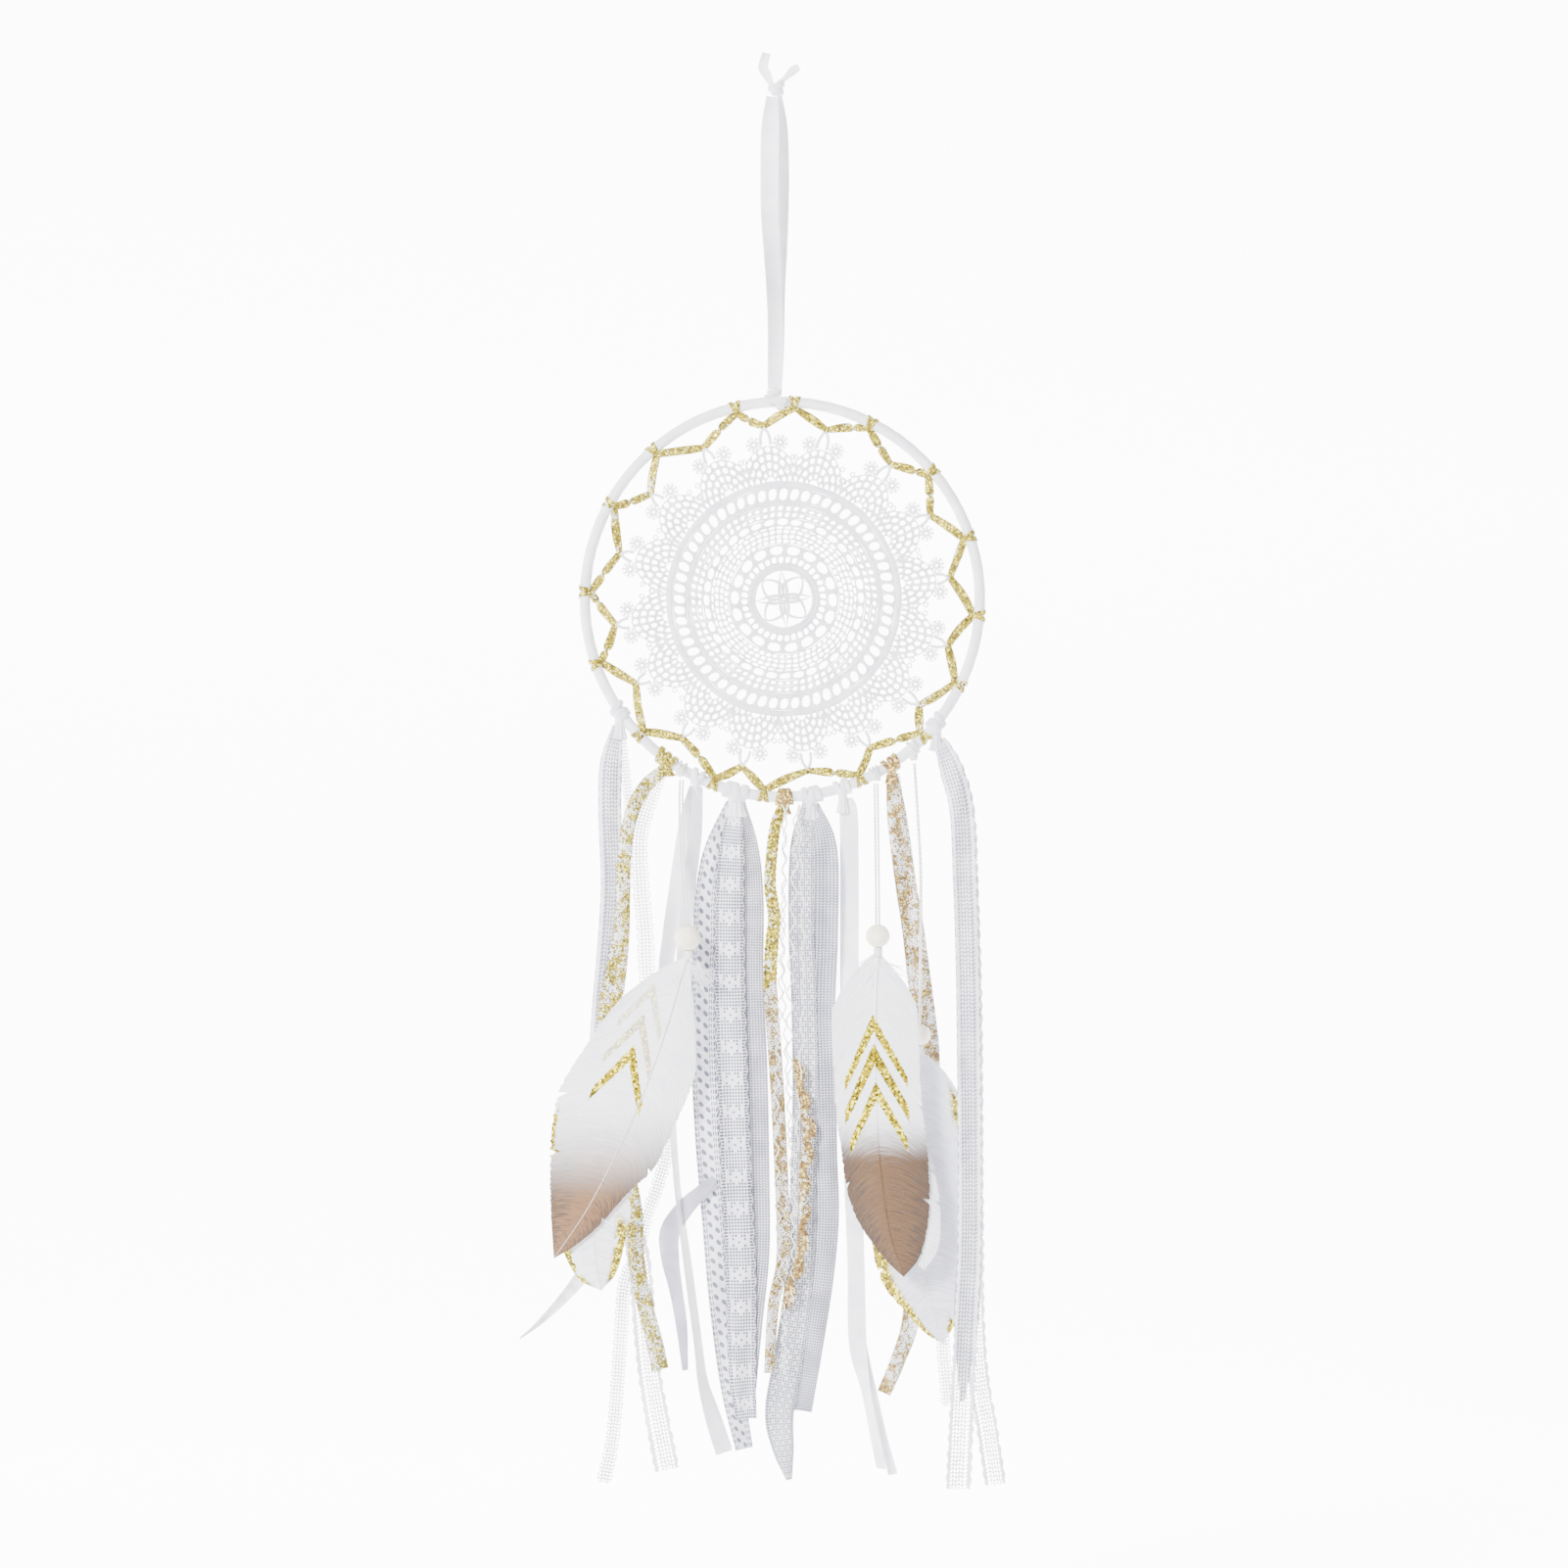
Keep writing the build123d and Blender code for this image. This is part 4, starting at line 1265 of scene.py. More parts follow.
def ring_place(inner, outer, wobble=0.0, phase=0.0, slip=0.0):
    """Places on a flat ring, radii in mm. A phase turns it and a slip slants its cells."""

    def place(u, v):
        turn = math.tau * (u + phase + slip * v)
        radius = outer + (inner - outer) * v
        radius = radius + wobble * np.sin(9 * turn + 3 * v) + wobble * np.sin(23 * turn + 1)
        return on_doily(0.0, radius * np.sin(turn), radius * np.cos(turn))

    return place


def solid_ring(count, place):
    """A closed ring of cells with no holes."""
    return bent_grid(count, 1, place, every_cell(0), 1, CROCHET, True)


# inner and outer radius in mm, cells round, rounds, thread share, wobble
ROUNDS = [
    (13.9, 15.7, 48, 1, 0.0, 0.1),
    (15.5, 17.6, 48, 1, 0.0, 0.1),
    (17.4, 21.6, 36, 1, 0.16, 0.15),
    (21.3, 27.6, 18, 1, 0.16, 0.2),
    (27.4, 29.9, 54, 1, 0.16, 0.2),
    (29.7, 34.5, 60, 2, 0.15, 0.2),
    (34.3, 36.3, 54, 1, 0.22, 0.2),
    (36.1, 40.3, 36, 1, 0.15, 0.2),
    (40.1, 43.2, 72, 1, 0.2, 0.25),
    (43.0, 46.6, 72, 1, 0.22, 0.25),
    (46.4, 48.4, 96, 1, 0.0, 0.15),
    (48.2, 55.2, 60, 1, 0.14, 0.2),
    (55.0, 58.2, 96, 1, 0.0, 0.15),
]
parts = []
for n, (inner, outer, count, rows, share, wobble) in enumerate(ROUNDS):
    cell = min((outer - inner) / rows, math.tau * inner / count) * MM
    place = ring_place(inner, outer, wobble, phase=n * 0.137, slip=0.004)
    parts.append(bent_grid(count, rows, place, every_cell(share), cell, CROCHET, True))


def leaf(degrees):
    """A leaf-shaped thread loop that points outwards from the middle."""

    def place(u, v):
        round_leaf = math.tau * u
        out = 7.6 + 6.3 * np.cos(round_leaf) * (1 - 0.15 * v)
        side = 5.2 * np.sin(round_leaf) * (1 - 0.35 * np.cos(round_leaf)) * (1 - 0.3 * v)
        return on_doily(math.radians(degrees), side, out)

    return solid_ring(28, place)


def star_ray(degrees):
    """One arm of the four-pointed star: a kite of thread."""

    def place(u, v):
        round_kite = math.tau * u
        out = 7.2 + 6.9 * np.cos(round_kite) * (1 - 0.1 * v)
        side = 2.3 * np.sin(round_kite) * (1 - 0.75 * np.cos(round_kite)) * (1 - 0.6 * v)
        return on_doily(math.radians(degrees), side, out)

    return solid_ring(24, place)


for n in range(4):
    parts.append(leaf(50 + 90 * n))
for n in range(4):
    parts.append(star_ray(5 + 90 * n))
parts.append(solid_ring(16, ring_place(0.5, 2.3)))

# angle round the hoop and distance from its centre in mm of each eye that the lacing goes through
EYES = [
    (96.2, 85.5), (75.4, 86), (51.2, 85), (29.7, 83.5), (7.5, 83), (344.4, 84.3), (322.2, 85),
    (300.5, 84.7), (278.5, 85), (256.3, 84.5), (234.1, 84.1), (210, 83.1), (188.8, 83), (164.2, 83),
    (141.4, 83), (117.5, 83.8),
]
# inner and outer radius, cells and thread share of each row of a fan
FAN_ROWS = [(2.6, 5.6, 5, 0.2), (5.4, 8.8, 7, 0.2), (8.6, 11.8, 9, 0.2), (11.6, 14.6, 11, 0.2)]
FAN_ROOT = 57.2
FAN_WIDE = 0.95
FAN_LONG = 1.3
FAN_EDGE = 15.6
# how far round a fan's edge, from 0 to 1, and radius in mm of each small ring of thread
FAN_RINGS = [(0.1, 1.8), (0.2, 1.5), (0.8, 1.5), (0.9, 1.8)]
ROSETTE_SIDE = 6.6
ROSETTE_OUT = 77.0
# inner and outer radius, cells and thread share of each ring of a rosette
ROSETTE_RINGS = [(2.3, 4.1, 9, 0.2), (0.8, 2.5, 5, 0.0)]


def fan_row(inner, outer, count, share):
    """One arc of a fan's cells. The fan is made once, pointing along X."""

    def place(u, v):
        open_turn = math.pi * (1.06 * u - 0.03)
        radius = outer + (inner - outer) * v
        side = radius * np.cos(open_turn) * FAN_WIDE
        return on_doily(0.0, side, FAN_ROOT + radius * np.sin(open_turn) * FAN_LONG)

    return bent_grid(count, 1, place, every_cell(share), 0.0030, CROCHET, False)


def small_ring(side, out, inner, outer):
    """Places on a small ring somewhere on the fan."""

    def place(u, v):
        radius = outer + (inner - outer) * v
        turn = math.tau * u
        return on_doily(0.0, side + radius * np.cos(turn), out + radius * np.sin(turn))

    return place


fan_parts = [fan_row(*row) for row in FAN_ROWS]
for side in (ROSETTE_SIDE, -ROSETTE_SIDE):
    for inner, outer, count, share in ROSETTE_RINGS:
        place = small_ring(side, ROSETTE_OUT, inner, outer)
        fan_parts.append(bent_grid(count, 1, place, every_cell(share), 0.0017, CROCHET, True))
for far_round, size in FAN_RINGS:
    side = FAN_EDGE * math.cos(math.pi * far_round) * FAN_WIDE
    out = FAN_ROOT + FAN_EDGE * math.sin(math.pi * far_round) * FAN_LONG
    fan_parts.append(solid_ring(8, small_ring(side, out, 0.55 * size, size)))
fan = joined("fan", fan_parts)
CHAIN_ROOT = 0.0765
for angle, reach in EYES:
    copy = fan.copy()
    copy.data = fan.data.copy()
    bpy.context.collection.objects.link(copy)
    turn = math.radians(angle)
    points = read(copy) - np.array(DOILY) * MM
    x = points[:, 0] * math.cos(turn) - points[:, 2] * math.sin(turn)
    z = points[:, 0] * math.sin(turn) + points[:, 2] * math.cos(turn)
    write(copy, np.stack([x, points[:, 1], z], 1) + np.array(DOILY) * MM)
    parts.append(copy)
    for sign in (-1, 1):
        start = on_hoop(angle + sign * 1.8, CHAIN_ROOT)
        end = on_hoop(angle, reach * MM)
        middle = (start + end) / 2 + (end - start).cross(Vector((0, 1, 0))) * 0.1 * sign
        parts.append(ribbon("chain", smooth_line([start, middle, end], 8), 0.0015, 0, CROCHET, 1))
bpy.data.objects.remove(fan)
doily = joined("doily_crochet", parts)
outwards(doily)
round_off(doily)
points = read(doily)
reach = np.hypot(points[:, 0] - HOOP.x, points[:, 2] - HOOP.z)
lean = np.arctan2(points[:, 2] - HOOP.z, points[:, 0] - HOOP.x)
points[:, 1] += 0.0006 * np.sin(lean * 5 + 1) * (reach / 0.08) ** 2
write(doily, points)
uv_from(doily, reach, lean * 0.04)
finish_piece(doily, "doily_crochet", cotton)
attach(doily, "hoop")
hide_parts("doily")
print("doily faces", len(doily.data.polygons))

# %% [markdown]
# The lacing is one gold-glitter ribbon: it turns twice round the hoop, crosses to an eye of
# the doily, and goes back to the hoop. It twists on the way, so its white back shows in places.
# The back is a second, narrower ribbon just behind the first. Each stretch is its own ribbon,
# because one long ribbon would have to turn too sharply at the eyes.

# %% Lacing
# the angles at which the lacing goes round the hoop
RINGS = [
    103.8, 86.5, 63.3, 40.5, 18.4, 355.3, 334.2, 315.8, 293.4, 264.5, 249.6, 223.5, 199.1, 177.8,
    151.1, 130.9,
]
LEG_STEPS = 26
LEG_WIDTH = 4.7 * MM
BACK_SHARE = 0.72
WRAP_WIDTH = 0.0024
WRAP_R = TUBE_R + 0.0007
rng = random.Random(7)
legs = []
white_legs = []
run = 0.0
for n, angle in enumerate(RINGS):
    for eye_angle, eye_reach in (EYES[n - 1], EYES[n]):
        start = on_hoop(angle, HOOP_R - TUBE_R - 0.0002, rng.uniform(-1, 1) * MM)
        end = on_hoop(eye_angle, eye_reach * MM + 0.0004)
        across = (end - start).cross(Vector((0, 1, 0))).normalized()
        middle = (start + end) / 2 + across * rng.uniform(-0.8, 0.8) * MM
        path = smooth_line([start, middle, end], LEG_STEPS)
        run += (end - start).length
        lead = rng.uniform(-0.4, 0.4)
        flip = math.pi if rng.random() < 0.4 else 0.0
        at = rng.uniform(0.3, 0.7)
        along = np.linspace(0, 1, LEG_STEPS)
        rolls = lead + flip / (1 + np.exp(-(along - at) * 22)) + 0.25 * np.sin(along * 6 + n)
        ends = 0.7 + 0.3 * np.sin(np.linspace(0.2, math.pi - 0.1, LEG_STEPS))
        width = LEG_WIDTH * ends
        legs.append(ribbon("leg", path, width, rolls, 0.0010, 3))
        path = path + np.array((0, 0.0008, 0)) + np.array(across) * 0.0006
        white_legs.append(ribbon("white_leg", path, width * BACK_SHARE, rolls + 0.4, 0.0004, 2))
    tangent = np.array(hoop_tangent(angle))
    for k in range(2):
        turn = np.linspace(0, math.tau, LEG_STEPS)
        along = angle + (turn / math.tau - 0.5) * 2.4 * (1 if k else -1)
        centres = np.array([on_hoop(a) for a in along])
        out = np.array([(on_hoop(a) - HOOP).normalized() for a in along])
        path = centres + out * (np.cos(turn) * WRAP_R)[:, None]
        path[:, 1] = np.sin(turn) * WRAP_R
        obj, i, j = grid(3, LEG_STEPS - 1)
        sway = 1 + 0.05 * np.sin(3 * turn + k)
        write(obj, path[j] + tangent * ((i / 3 - 0.5) * WRAP_WIDTH * sway[j])[:, None])
        uv_from(obj, i * 0.001, turn[j] * WRAP_R)
        apply_modifier(obj, "SOLIDIFY", thickness=0.0006, offset=1)
        legs.append(obj)
crossing = run
run += 2 * len(RINGS) * math.tau * WRAP_R
lacing = joined("lacing_ribbon", legs)
outwards(lacing)
round_off(lacing)
finish_piece(lacing, "lacing_ribbon", lurex)
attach(lacing, "hoop")
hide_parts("lacing")
ribbon_sheet(0.0041, run)
backing = joined("lacing_backing", white_legs)
outwards(backing)
finish_piece(backing, "lacing_backing", lurex_back)
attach(backing, "hoop")
ribbon_sheet(0.0031, crossing)
print("lacing length", round(run, 3), "of it between hoop and doily", round(crossing, 3))

# %% [markdown]
# Where a strip is tied on, it wraps the hoop and gathers into pleats below. Each knot is two
# or three wraps, a soft lump in front and a pleated skirt that runs into the strip.

# %% Hoop knots
# angle round the hoop, width and drop in mm, finish and slot
KNOTS = {
    "far_left_lace_knot": (214.6, 8, 10, lace_thread, "lace_white"),
    "left_gold_knot": (233.8, 10, 5, lurex, "gold_lurex"),
    "left_satin_knot": (244.4, 5.6, 8, satin, "satin_white"),
    "left_lace_knot": (256.4, 12, 9, lace_thread, "lace_white"),
    "centre_gold_knot": (270.6, 8, 5, sequin, "gold_trim"),
    "right_lace_knot": (278.4, 10, 9, lace_thread, "lace_white"),
    "right_satin_knot": (287.8, 7.2, 9, satin, "satin_white"),
    "right_gold_knot": (303.6, 7.6, 6, sequin, "gold_lurex"),
    "far_right_lace_knot": (321.2, 8, 10, lace_thread, "lace_white"),
}
# angle round the hoop, then how far in front of it and below it the knot's lump sits
CORD_KNOTS = {
    "left_cord_knot": (239.2, 5, 1.5),
    "right_cord_knot": (298.2, 5, 1.5),
    "small_cord_knot": (311.6, 0, 4.5),
}


def hoop_wraps(angle, width, radius, count, seed):
    """Turns of cloth round the hoop, side by side and a little askew."""
    centre = on_hoop(angle)
    tangent = hoop_tangent(angle)
    outward = (centre - HOOP).normalized()
    made = []
    for k in range(count):
        shift = (k - (count - 1) / 2) * width / count
        askew = 0.25 * math.sin(seed + 2.1 * k)

        def shape(turn, height, shift=shift, askew=askew, k=k):
            swell = radius * (1 + 0.12 * np.sin(math.pi * height) + 0.05 * np.sin(3 * turn + seed + k))
            along = shift + (height - 0.5) * width / count * 1.12 + askew * radius * np.cos(turn)
            rows = np.outer(along, tangent) + np.outer(np.cos(turn) * swell, outward)
            rows[:, 1] += np.sin(turn) * swell
            return rows * MM + np.array(centre)

        made.append(folded_tube(22, 5, shape))
    return made


PLEATS = 9


def skirt(angle, width, drop, seed):
    """The gathered top of a strip: a pleated cone below the hoop."""
    centre = on_hoop(angle) / MM

    def shape(turn, height):
        fall = 1 - height
        fold = 1 + (0.1 + 0.1 * fall) * np.sin(PLEATS * turn + seed + fall)
        wide = (0.36 * width + 0.1 * width * fall - 0.12 * width * np.sin(math.pi * fall)) * fold
        deep = (3.3 - 1.6 * fall) * fold
        return np.stack([
            centre.x + wide * np.cos(turn), deep * np.sin(turn), centre.z - 1 - fall * (drop + 3),
        ], 1) * MM

    return folded_tube(36, 7, shape)


for seed, (node, (angle, width, drop, finish, slot)) in enumerate(KNOTS.items()):
    pieces = hoop_wraps(angle, width, 3.95, 3 if width > 7 else 2, seed)
    pieces.append(skirt(angle, width, drop, seed))
    centre = on_hoop(angle) / MM
    pieces.append(core((centre.x, -2.6, centre.z - 2.2), (width * 0.32, 2.3, 3.1), seed))
    knot = joined(node + "_cloth", pieces)
    round_off(knot)
    finish_piece(knot, node + "_cloth", finish)
    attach(knot, "hoop")
    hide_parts(node)
for seed, (node, (angle, forward, below)) in enumerate(CORD_KNOTS.items()):
    centre = on_hoop(angle) / MM
    pieces = hoop_wraps(angle, 3.4, 3.7, 3, seed)
    pieces.append(core((centre.x, -forward, centre.z - below), (2.4, 2.3, 2.4), seed))
    knot = joined(node + "_thread", pieces)
    finish_piece(knot, node + "_thread", cord_cotton)
    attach(knot, "hoop")
    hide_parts(node)
print("knots", len(KNOTS) + len(CORD_KNOTS))

# %% [markdown]
# A feather is a vane of barbs on a tapering shaft. Each row of faces here is one lock of
# barbs, slanted towards the tip as real ones are. Where locks part, the edge shows a split.

# %% Feather finish


def chevron_mask(finish, place, apex, lean, arm, half):
    """A painted arrowhead: 1 inside its two straight strokes. Lengths in metres, lean in degrees."""
    x, _, z = finish.parts(place)
    turn = math.radians(lean)
    rough = (finish.noise(place, 500) - 0.5) * 0.0016
    aside = (x - apex[0]) * math.cos(turn) + (z - apex[1]) * math.sin(turn)
    fall = (x - apex[0]) * math.sin(turn) - (z - apex[1]) * math.cos(turn)
    stroke = (fall - aside.size() * 1.94 + rough).size() + aside.size() * 0.1
    return (1 - stroke.step(half * 3.0, half * 3.7)) * (aside.size() < arm)


def feather_finish(name, chevrons=(), dip=None, edges=(), tint=WHITE, shade=SHADE):
    """White barbs, with painted arrowheads, a painted tip and glitter along the edge."""
    finish = Finish(name, Sheen_Weight=0.3 if dip is None else 0.0, Sheen_Roughness=0.4,
                    Specular_IOR_Level=0.5 if dip is None else 0.15)
    place = finish.place()
    side, along, _ = finish.parts(finish.cloth())
    barb = (along * 900 + side.size() * 2).wave()
    soft = finish.noise(place, 120)
    lock = finish.noise(finish.stretch(finish.cloth(), (0.8, 60, 1)), 2)
    tone = finish.mix((lock - 0.4) * 1.5 + (soft - 0.5) * 0.5 - barb * 0.08, tint, shade)
    flake = finish.flakes(place, 1050)
    red, green, _ = finish.parts(flake)
    # Glitter flakes: from dark to middle gold, partly their own colour and partly painted shade; one flake
    # in four gets the bright colour, a painted glint.
    gold = finish.mix(red.step(0.15, 0.6), GOLD[0], GOLD[1])
    gold = finish.mix(green > 0.75, gold, GOLD[2])
    masks = []
    for apex, lean, arm, half, strength in chevrons:
        masks.append(chevron_mask(finish, place, apex, lean, arm, half) * strength)
    for sign, start, end, reach in edges:
        rim = (side * sign).step(1 - reach, 1 - reach * 0.5) * along.step(start, start + 0.05)
        masks.append(rim * (1 - along.step(end - 0.05, end)) * (soft > 0.38))
    metal = None
    if dip is not None:
        start, end, colour, dark = dip
        _, _, height = finish.parts(place)
        streak = finish.noise(finish.stretch(finish.cloth(), (1.5, 110, 1)), 1.5, 4)
        dipped = 1 - (height + (streak - 0.5) * 0.016).step(end, start)
        # Darker in streaks along the barbs and towards the vane's edges.
        darker_streaks_and_edges = (streak + side.size() * 0.25 - 0.12).step(0.4, 0.75)
        tone = finish.mix(dipped * 0.95, tone, finish.mix(darker_streaks_and_edges, colour, dark))
        metal = dipped * 0.35
    if masks:
        painted = masks[0]
        for mask in masks[1:]:
            painted = painted.math("MAXIMUM", painted, mask)
        tone = finish.mix(painted, tone, gold)
        metal = painted * 0.35 if metal is None else metal + painted * 0.3
    finish.feed(Base_Color=tone, Roughness=0.5 + soft * 0.2)
    if metal is not None:
        finish.feed(Metallic=metal)
    finish.bump(barb * 0.5 + lock, 0.5, 0.0002)
    return finish.material


COPPER = rgb(90, 57, 0)
COPPER_DARK = rgb(50, 28, 0)
ROSE = rgb(122, 85, 44)
ROSE_DARK = rgb(56, 35, 12)
# an arrowhead is apex, lean, reach, half width and strength of its paint; a rim of glitter is
# side, start and end from quill to tip, and how far in it reaches
FEATHER_LOOKS = {
    "left_front_feather": feather_finish(
        "rose_dipped_feather", [
            ((-0.0594, -0.4406), -18.5, 0.011, 0.0011, 0.45),
            ((-0.0647, -0.4560), -18.5, 0.012, 0.0012, 0.6),
            ((-0.0696, -0.4720), -18.5, 0.013, 0.0014, 1.0)],
        dip=(-0.492, -0.546, ROSE, ROSE_DARK), edges=[(-1, 0.45, 0.68, 0.07)]),
    "left_back_feather": feather_finish(
        "gold_edged_feather", edges=[(-1, 0.28, 0.99, 0.3), (1, 0.72, 0.99, 0.45)],
        shade=rgb(178, 178, 200)),
    "right_front_feather": feather_finish(
        "copper_dipped_feather", [
            ((0.0488, -0.4571), 3, 0.0155, 0.00135, 1),
            ((0.0493, -0.4724), 3, 0.0158, 0.0016, 1),
            ((0.0503, -0.4904), 3, 0.0142, 0.0014, 1)],
        dip=(-0.501, -0.526, COPPER, COPPER_DARK)),
    "right_back_feather": feather_finish("frayed_feather", shade=rgb(196, 196, 214)),
    "small_feather": feather_finish(
        "small_gold_edged_feather",
        edges=[(-1, 0.5, 0.995, 0.34), (1, 0.02, 0.2, 0.34), (1, 0.86, 0.995, 0.5)],
        tint=rgb(222, 222, 232), shade=rgb(160, 160, 182)),
}
SHAFT_LOOKS = {"right_front_feather": FEATHER_LOOKS["right_front_feather"]}
quill = thread_finish(
    "feather_quill", rgb(238, 234, 226), rgb(196, 190, 186), 0.002, 0.003, 0.00003,
    Specular_IOR_Level=0.6,
)
print("feather finishes", len(FEATHER_LOOKS))

# %% Feathers
# body, depth, slant of the barbs, then the left edge, right edge and shaft as (x, z), in mm
FEATHERS = {
    "left_front_feather": ("left_pendant", -12.4, 0.2, [
        (-44, -425.5), (-55.5, -430), (-67, -437.5), (-80, -451), (-91, -466.2), (-101.5, -482),
        (-107, -494.7), (-109.7, -510), (-110, -530), (-109.2, -552), (-107.7, -572.5)], [
        (-40.5, -425.5), (-39.2, -445), (-38.2, -465), (-38.2, -481), (-41.5, -492), (-48.3, -508),
        (-52.7, -517.4), (-59.4, -530), (-71.5, -541), (-86, -557), (-96.6, -565.7), (-107.7, -572.5)], [
        (-41.8, -423.5), (-44.9, -433), (-54, -464), (-65.7, -496), (-79, -525), (-91.8, -549),
        (-107.7, -572.5)]),
    "left_back_feather": ("left_pendant", -10.2, 0.16, [
        (-44.5, -428.5), (-66, -446), (-90, -475), (-104, -498), (-108.5, -530), (-105.3, -562),
        (-96.6, -582), (-84.5, -588.5)], [
        (-42.4, -428.5), (-50, -452), (-60, -480), (-67, -508), (-70, -547), (-76, -577),
        (-84.5, -588.5)], [
        (-41.9, -424), (-56, -455), (-74, -490), (-86, -530), (-88, -565), (-84.5, -588.5)]),
    "right_front_feather": ("right_pendant", -10.4, 0.2, [
        (50, -424), (41, -429), (32.4, -438.7), (28.6, -453.6), (29.5, -481), (30.4, -500),
        (33.3, -523), (36.2, -541), (41.5, -555), (49, -566), (57, -575.5), (63.8, -581.7)], [
        (52.4, -424), (57.5, -429.5), (64.5, -437), (69.6, -445), (71, -462), (72.5, -490),
        (74.4, -508), (76.4, -528), (76.8, -545), (75.2, -560), (71.2, -573), (63.8, -581.7)], [
        (51.2, -421.9), (50.2, -440), (49.6, -470), (50.3, -500), (52.5, -530), (57, -560), (63.8, -581.7)]),
    "right_back_feather": ("right_pendant", -8.2, 0.16, [
        (51.6, -427), (47, -450), (46, -480), (52, -520), (58, -550), (66, -571), (74, -578.5)], [
        (53.6, -427), (62, -450), (70, -480), (76, -515), (81, -540), (82.2, -556), (80.5, -569),
        (74, -578.5)], [
        (51.6, -422.5), (54, -450), (58, -485), (64, -520), (70, -550), (74, -578.5)]),
    "small_feather": ("small_pendant", 3.4, 0.18, [
        (71, -473), (63, -478), (53.5, -494), (48.5, -530), (47.8, -562.8), (53.6, -587),
        (66.2, -602), (75, -611.5), (84.1, -616.4)], [
        (73.2, -473), (80, -477.5), (89.4, -487), (94, -508.7), (96.6, -557), (94.2, -595.7),
        (84.1, -616.4)], [
        (72.2, -471), (71.5, -500), (71, -535), (73, -570), (78, -598), (84.1, -616.4)]),
}
# where a split is from quill to tip, its side, and how deep it cuts
SPLITS = {
    "left_front_feather": [(0.42, -1, 0.35), (0.63, -1, 0.2), (0.55, 1, 0.3), (0.78, 1, 0.4)],
    "left_back_feather": [(0.5, -1, 0.3), (0.72, -1, 0.5), (0.66, 1, 0.4)],
    "right_front_feather": [(0.36, 1, 0.25), (0.62, -1, 0.3), (0.7, 1, 0.35)],
    "right_back_feather": [(0.5, 1, 0.5), (0.62, 1, 0.4), (0.74, 1, 0.6), (0.6, -1, 0.4)],
    "small_feather": [(0.5, 1, 0.35), (0.7, 1, 0.3), (0.45, -1, 0.3), (0.64, -1, 0.25)],
}
LOCKS = 150
SIDE_CELLS = 8
SHAFT_STEPS = 40


def vane(name, depth, slant, left, right, shaft, splits, seed):
    """A feather's vane between its two edges, with its shaft down the middle."""
    obj, i, j = grid(2 * SIDE_CELLS, LOCKS)
    t = j / LOCKS
    s = i / SIDE_CELLS - 1
    reach_at = t + slant * (1 - t) * np.abs(s)
    steps = 400
    edges = [even_line(line, steps)[0] for line in (left, shaft, right)]
    fine = np.linspace(0, 1, steps)
    at = [
        np.stack([np.interp(where, fine, line[:, k]) for k in (0, 1)], 1)
        for line, where in zip(edges, (reach_at, t, reach_at))
    ]
    rng = np.random.default_rng(seed)
    ragged = 1 - 0.035 * rng.random((2, LOCKS + 1)) * np.sin(np.linspace(0.05, 3.0, LOCKS + 1))
    for where, side, cut in splits:
        row = int(where * LOCKS)
        ragged[int(side > 0), row : row + 2] -= 0.45 * cut * np.array([1.0, 0.3])
    extent = np.where(s < 0, ragged[0][j], ragged[1][j])
    out = np.abs(s) * extent
    edge = np.where((s < 0)[:, None], at[0], at[2])
    flat = at[1] + (edge - at[1]) * out[:, None]
    cup = 1.3 * out**2 * np.sin(math.pi * np.clip(t, 0.05, 1))
    wave = 0.22 * np.sin(j * 1.9 + seed) * out + 0.5 * np.sin(t * 7 + seed) * out
    y = depth + cup + wave + 0.7 * np.sin(math.pi * t)
    write(obj, np.stack([flat[:, 0], y, flat[:, 1]], 1) * MM)
    uv_from(obj, s, t)
    apply_modifier(obj, "SOLIDIFY", thickness=0.00028, offset=0)
    obj.name = name
    return obj


def shaft_tube(shaft, depth, top, tip):
    """The shaft: a tube that tapers to the tip."""
    line, _ = even_line(shaft, SHAFT_STEPS)
    t = np.linspace(0, 1, SHAFT_STEPS)
    y = depth - 0.35 + 0.7 * np.sin(math.pi * t)
    path = np.stack([line[:, 0], y, line[:, 1]], 1) * MM

    def shape(turn, height):
        n = np.clip((1 - height) * (SHAFT_STEPS - 1), 0, SHAFT_STEPS - 1)
        k = np.arange(SHAFT_STEPS)
        middle = np.stack([np.interp(n, k, path[:, axis]) for axis in range(3)], 1)
        thick = (top + (tip - top) * (1 - height) ** 0.7) * MM
        return middle + np.stack([np.cos(turn) * thick, np.sin(turn) * thick, 0 * turn], 1)

    return folded_tube(8, SHAFT_STEPS - 1, shape)


def down(start, depth, count, reach, seed):
    """Loose fluff at the quill: short curly threads."""
    rng = random.Random(seed)
    lines = []
    for n in range(count):
        side = -1 if n % 2 else 1
        lean = rng.uniform(0.2, 1.15) * side
        long = reach * rng.uniform(0.5, 1)
        heading = Vector((math.sin(lean), 0, -math.cos(lean)))
        curl = rng.uniform(-1, 1)
        at = Vector((start[0], depth + rng.uniform(-0.6, 0.6), start[1] - rng.uniform(0, 7)))
        line = []
        for k in range(7):
            f = k / 6
            bend = Vector((-heading.z, 0, heading.x)) * curl * 0.35 * long * f * f
            lift = Vector((0, math.sin(f * 3 + n) * 0.7 * f, 0))
            line.append(tuple((at + heading * long * f + bend + lift) * MM))
        lines.append(line)
    return wound_tube("down", lines, 0.00013, 0)


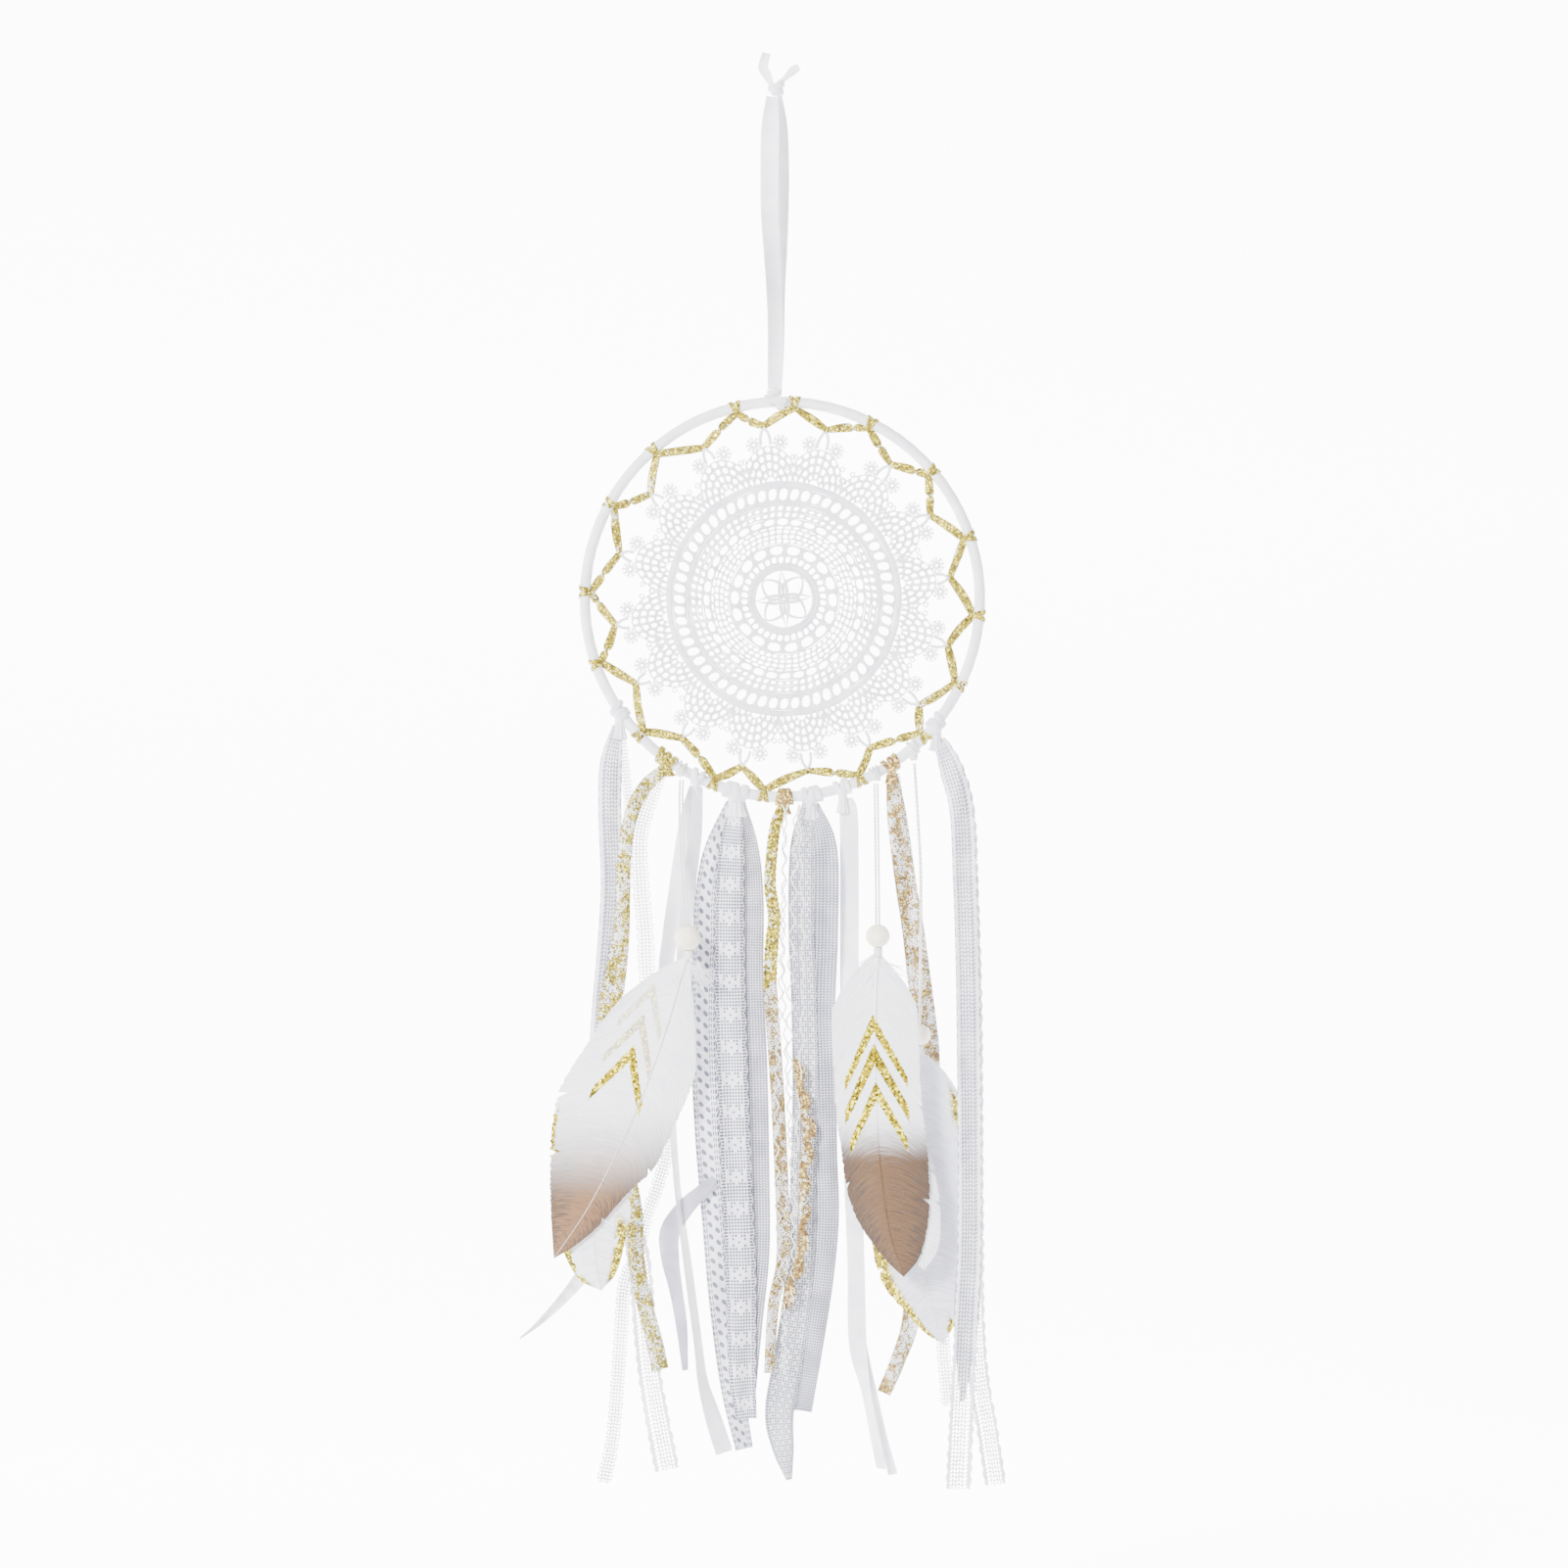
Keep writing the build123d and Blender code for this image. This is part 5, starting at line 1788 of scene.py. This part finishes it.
for seed, (node, (body, depth, slant, left, right, shaft)) in enumerate(FEATHERS.items()):
    blade = vane(node, depth, slant, left, right, shaft, SPLITS[node], seed)
    fluff = down(shaft[0], depth, 34, 17, seed)
    feather = joined(node + "_vane", [blade, fluff])
    painted = node in ("left_front_feather", "right_front_feather")
    slot = "feather_painted" if painted else "feather_white"
    finish_piece(feather, node + "_vane", FEATHER_LOOKS[node])
    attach(feather, body)
    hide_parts(node)
    rod = shaft_tube(shaft, depth, 0.62, 0.12)
    finish_piece(rod, node + "_shaft", SHAFT_LOOKS.get(node, quill))
    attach(rod, body)
    print(node, len(feather.data.polygons))

# %% [markdown]
# A third, much narrower feather hides behind the left pair, and only its curled tip shows.

# %% Curled tip
TIP_LINE = [
    (-82, -8.6, -560), (-94, -8.2, -581), (-104, -7.6, -593.4), (-115.5, -7.8, -605),
    (-124.4, -8.4, -612.2),
]
TIP_STEPS = 60
tip_path = smooth_line(TIP_LINE, TIP_STEPS) * MM
tip_width = np.interp(np.linspace(0, 1, TIP_STEPS), [0, 0.3, 0.6, 1], [5, 7, 5, 0.6]) * MM
tip_rolls = np.linspace(0.2, 0.8, TIP_STEPS)
tip = ribbon("left_curled_tip", tip_path, tip_width, tip_rolls, 0.0003, 6, curl=-0.0009)
finish_piece(tip, "left_curled_tip", FEATHER_LOOKS["left_back_feather"])
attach(tip, "left_pendant")
print("curled tip made")

# %% [markdown]
# Thread is wound round each quill to tie it to its cords. The winding is one helix of fine
# thread, close enough that its turns touch. The beads and the wire keep their own shape from
# the frame and only get a finish.

# %% Quill bindings
WINDINGS = 9
WINDING_STEPS = 14
WINDING_R = 1.95
for pendant, (body, _, _, points) in CORD_ROUTES.items():
    low_end = Vector(points[-1])
    up = (Vector(points[-2]) - low_end).normalized()
    side = Vector((0, 1, 0)).cross(up).normalized()
    front = up.cross(side)
    line = []
    for k in range(WINDING_STEPS * WINDINGS + 1):
        turn = math.tau * k / WINDING_STEPS
        climb = up * (0.1 - 4.1 * k / (WINDING_STEPS * WINDINGS))
        out = side * math.cos(turn) + front * math.sin(turn)
        line.append(tuple((low_end + climb + out * WINDING_R) * MM))
    thread = wound_tube(pendant + "_winding", [line], 0.00027, 1)
    plug = core(tuple(low_end - up * 1.9), (1.9, 1.9, 2.2), 1)
    binding = joined(pendant + "_binding_thread", [thread, plug])
    finish_piece(binding, pendant + "_binding_thread", cord_cotton)
    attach(binding, body)
    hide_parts(pendant + "_binding")
CARRIED = {"left_bead": wood, "right_bead": wood, "small_bead": wood, "hoop_wire": steel}
for node, finish in CARRIED.items():
    for material_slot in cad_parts[node].material_slots:
        material_slot.material = finish.material
print("bindings and beads done")
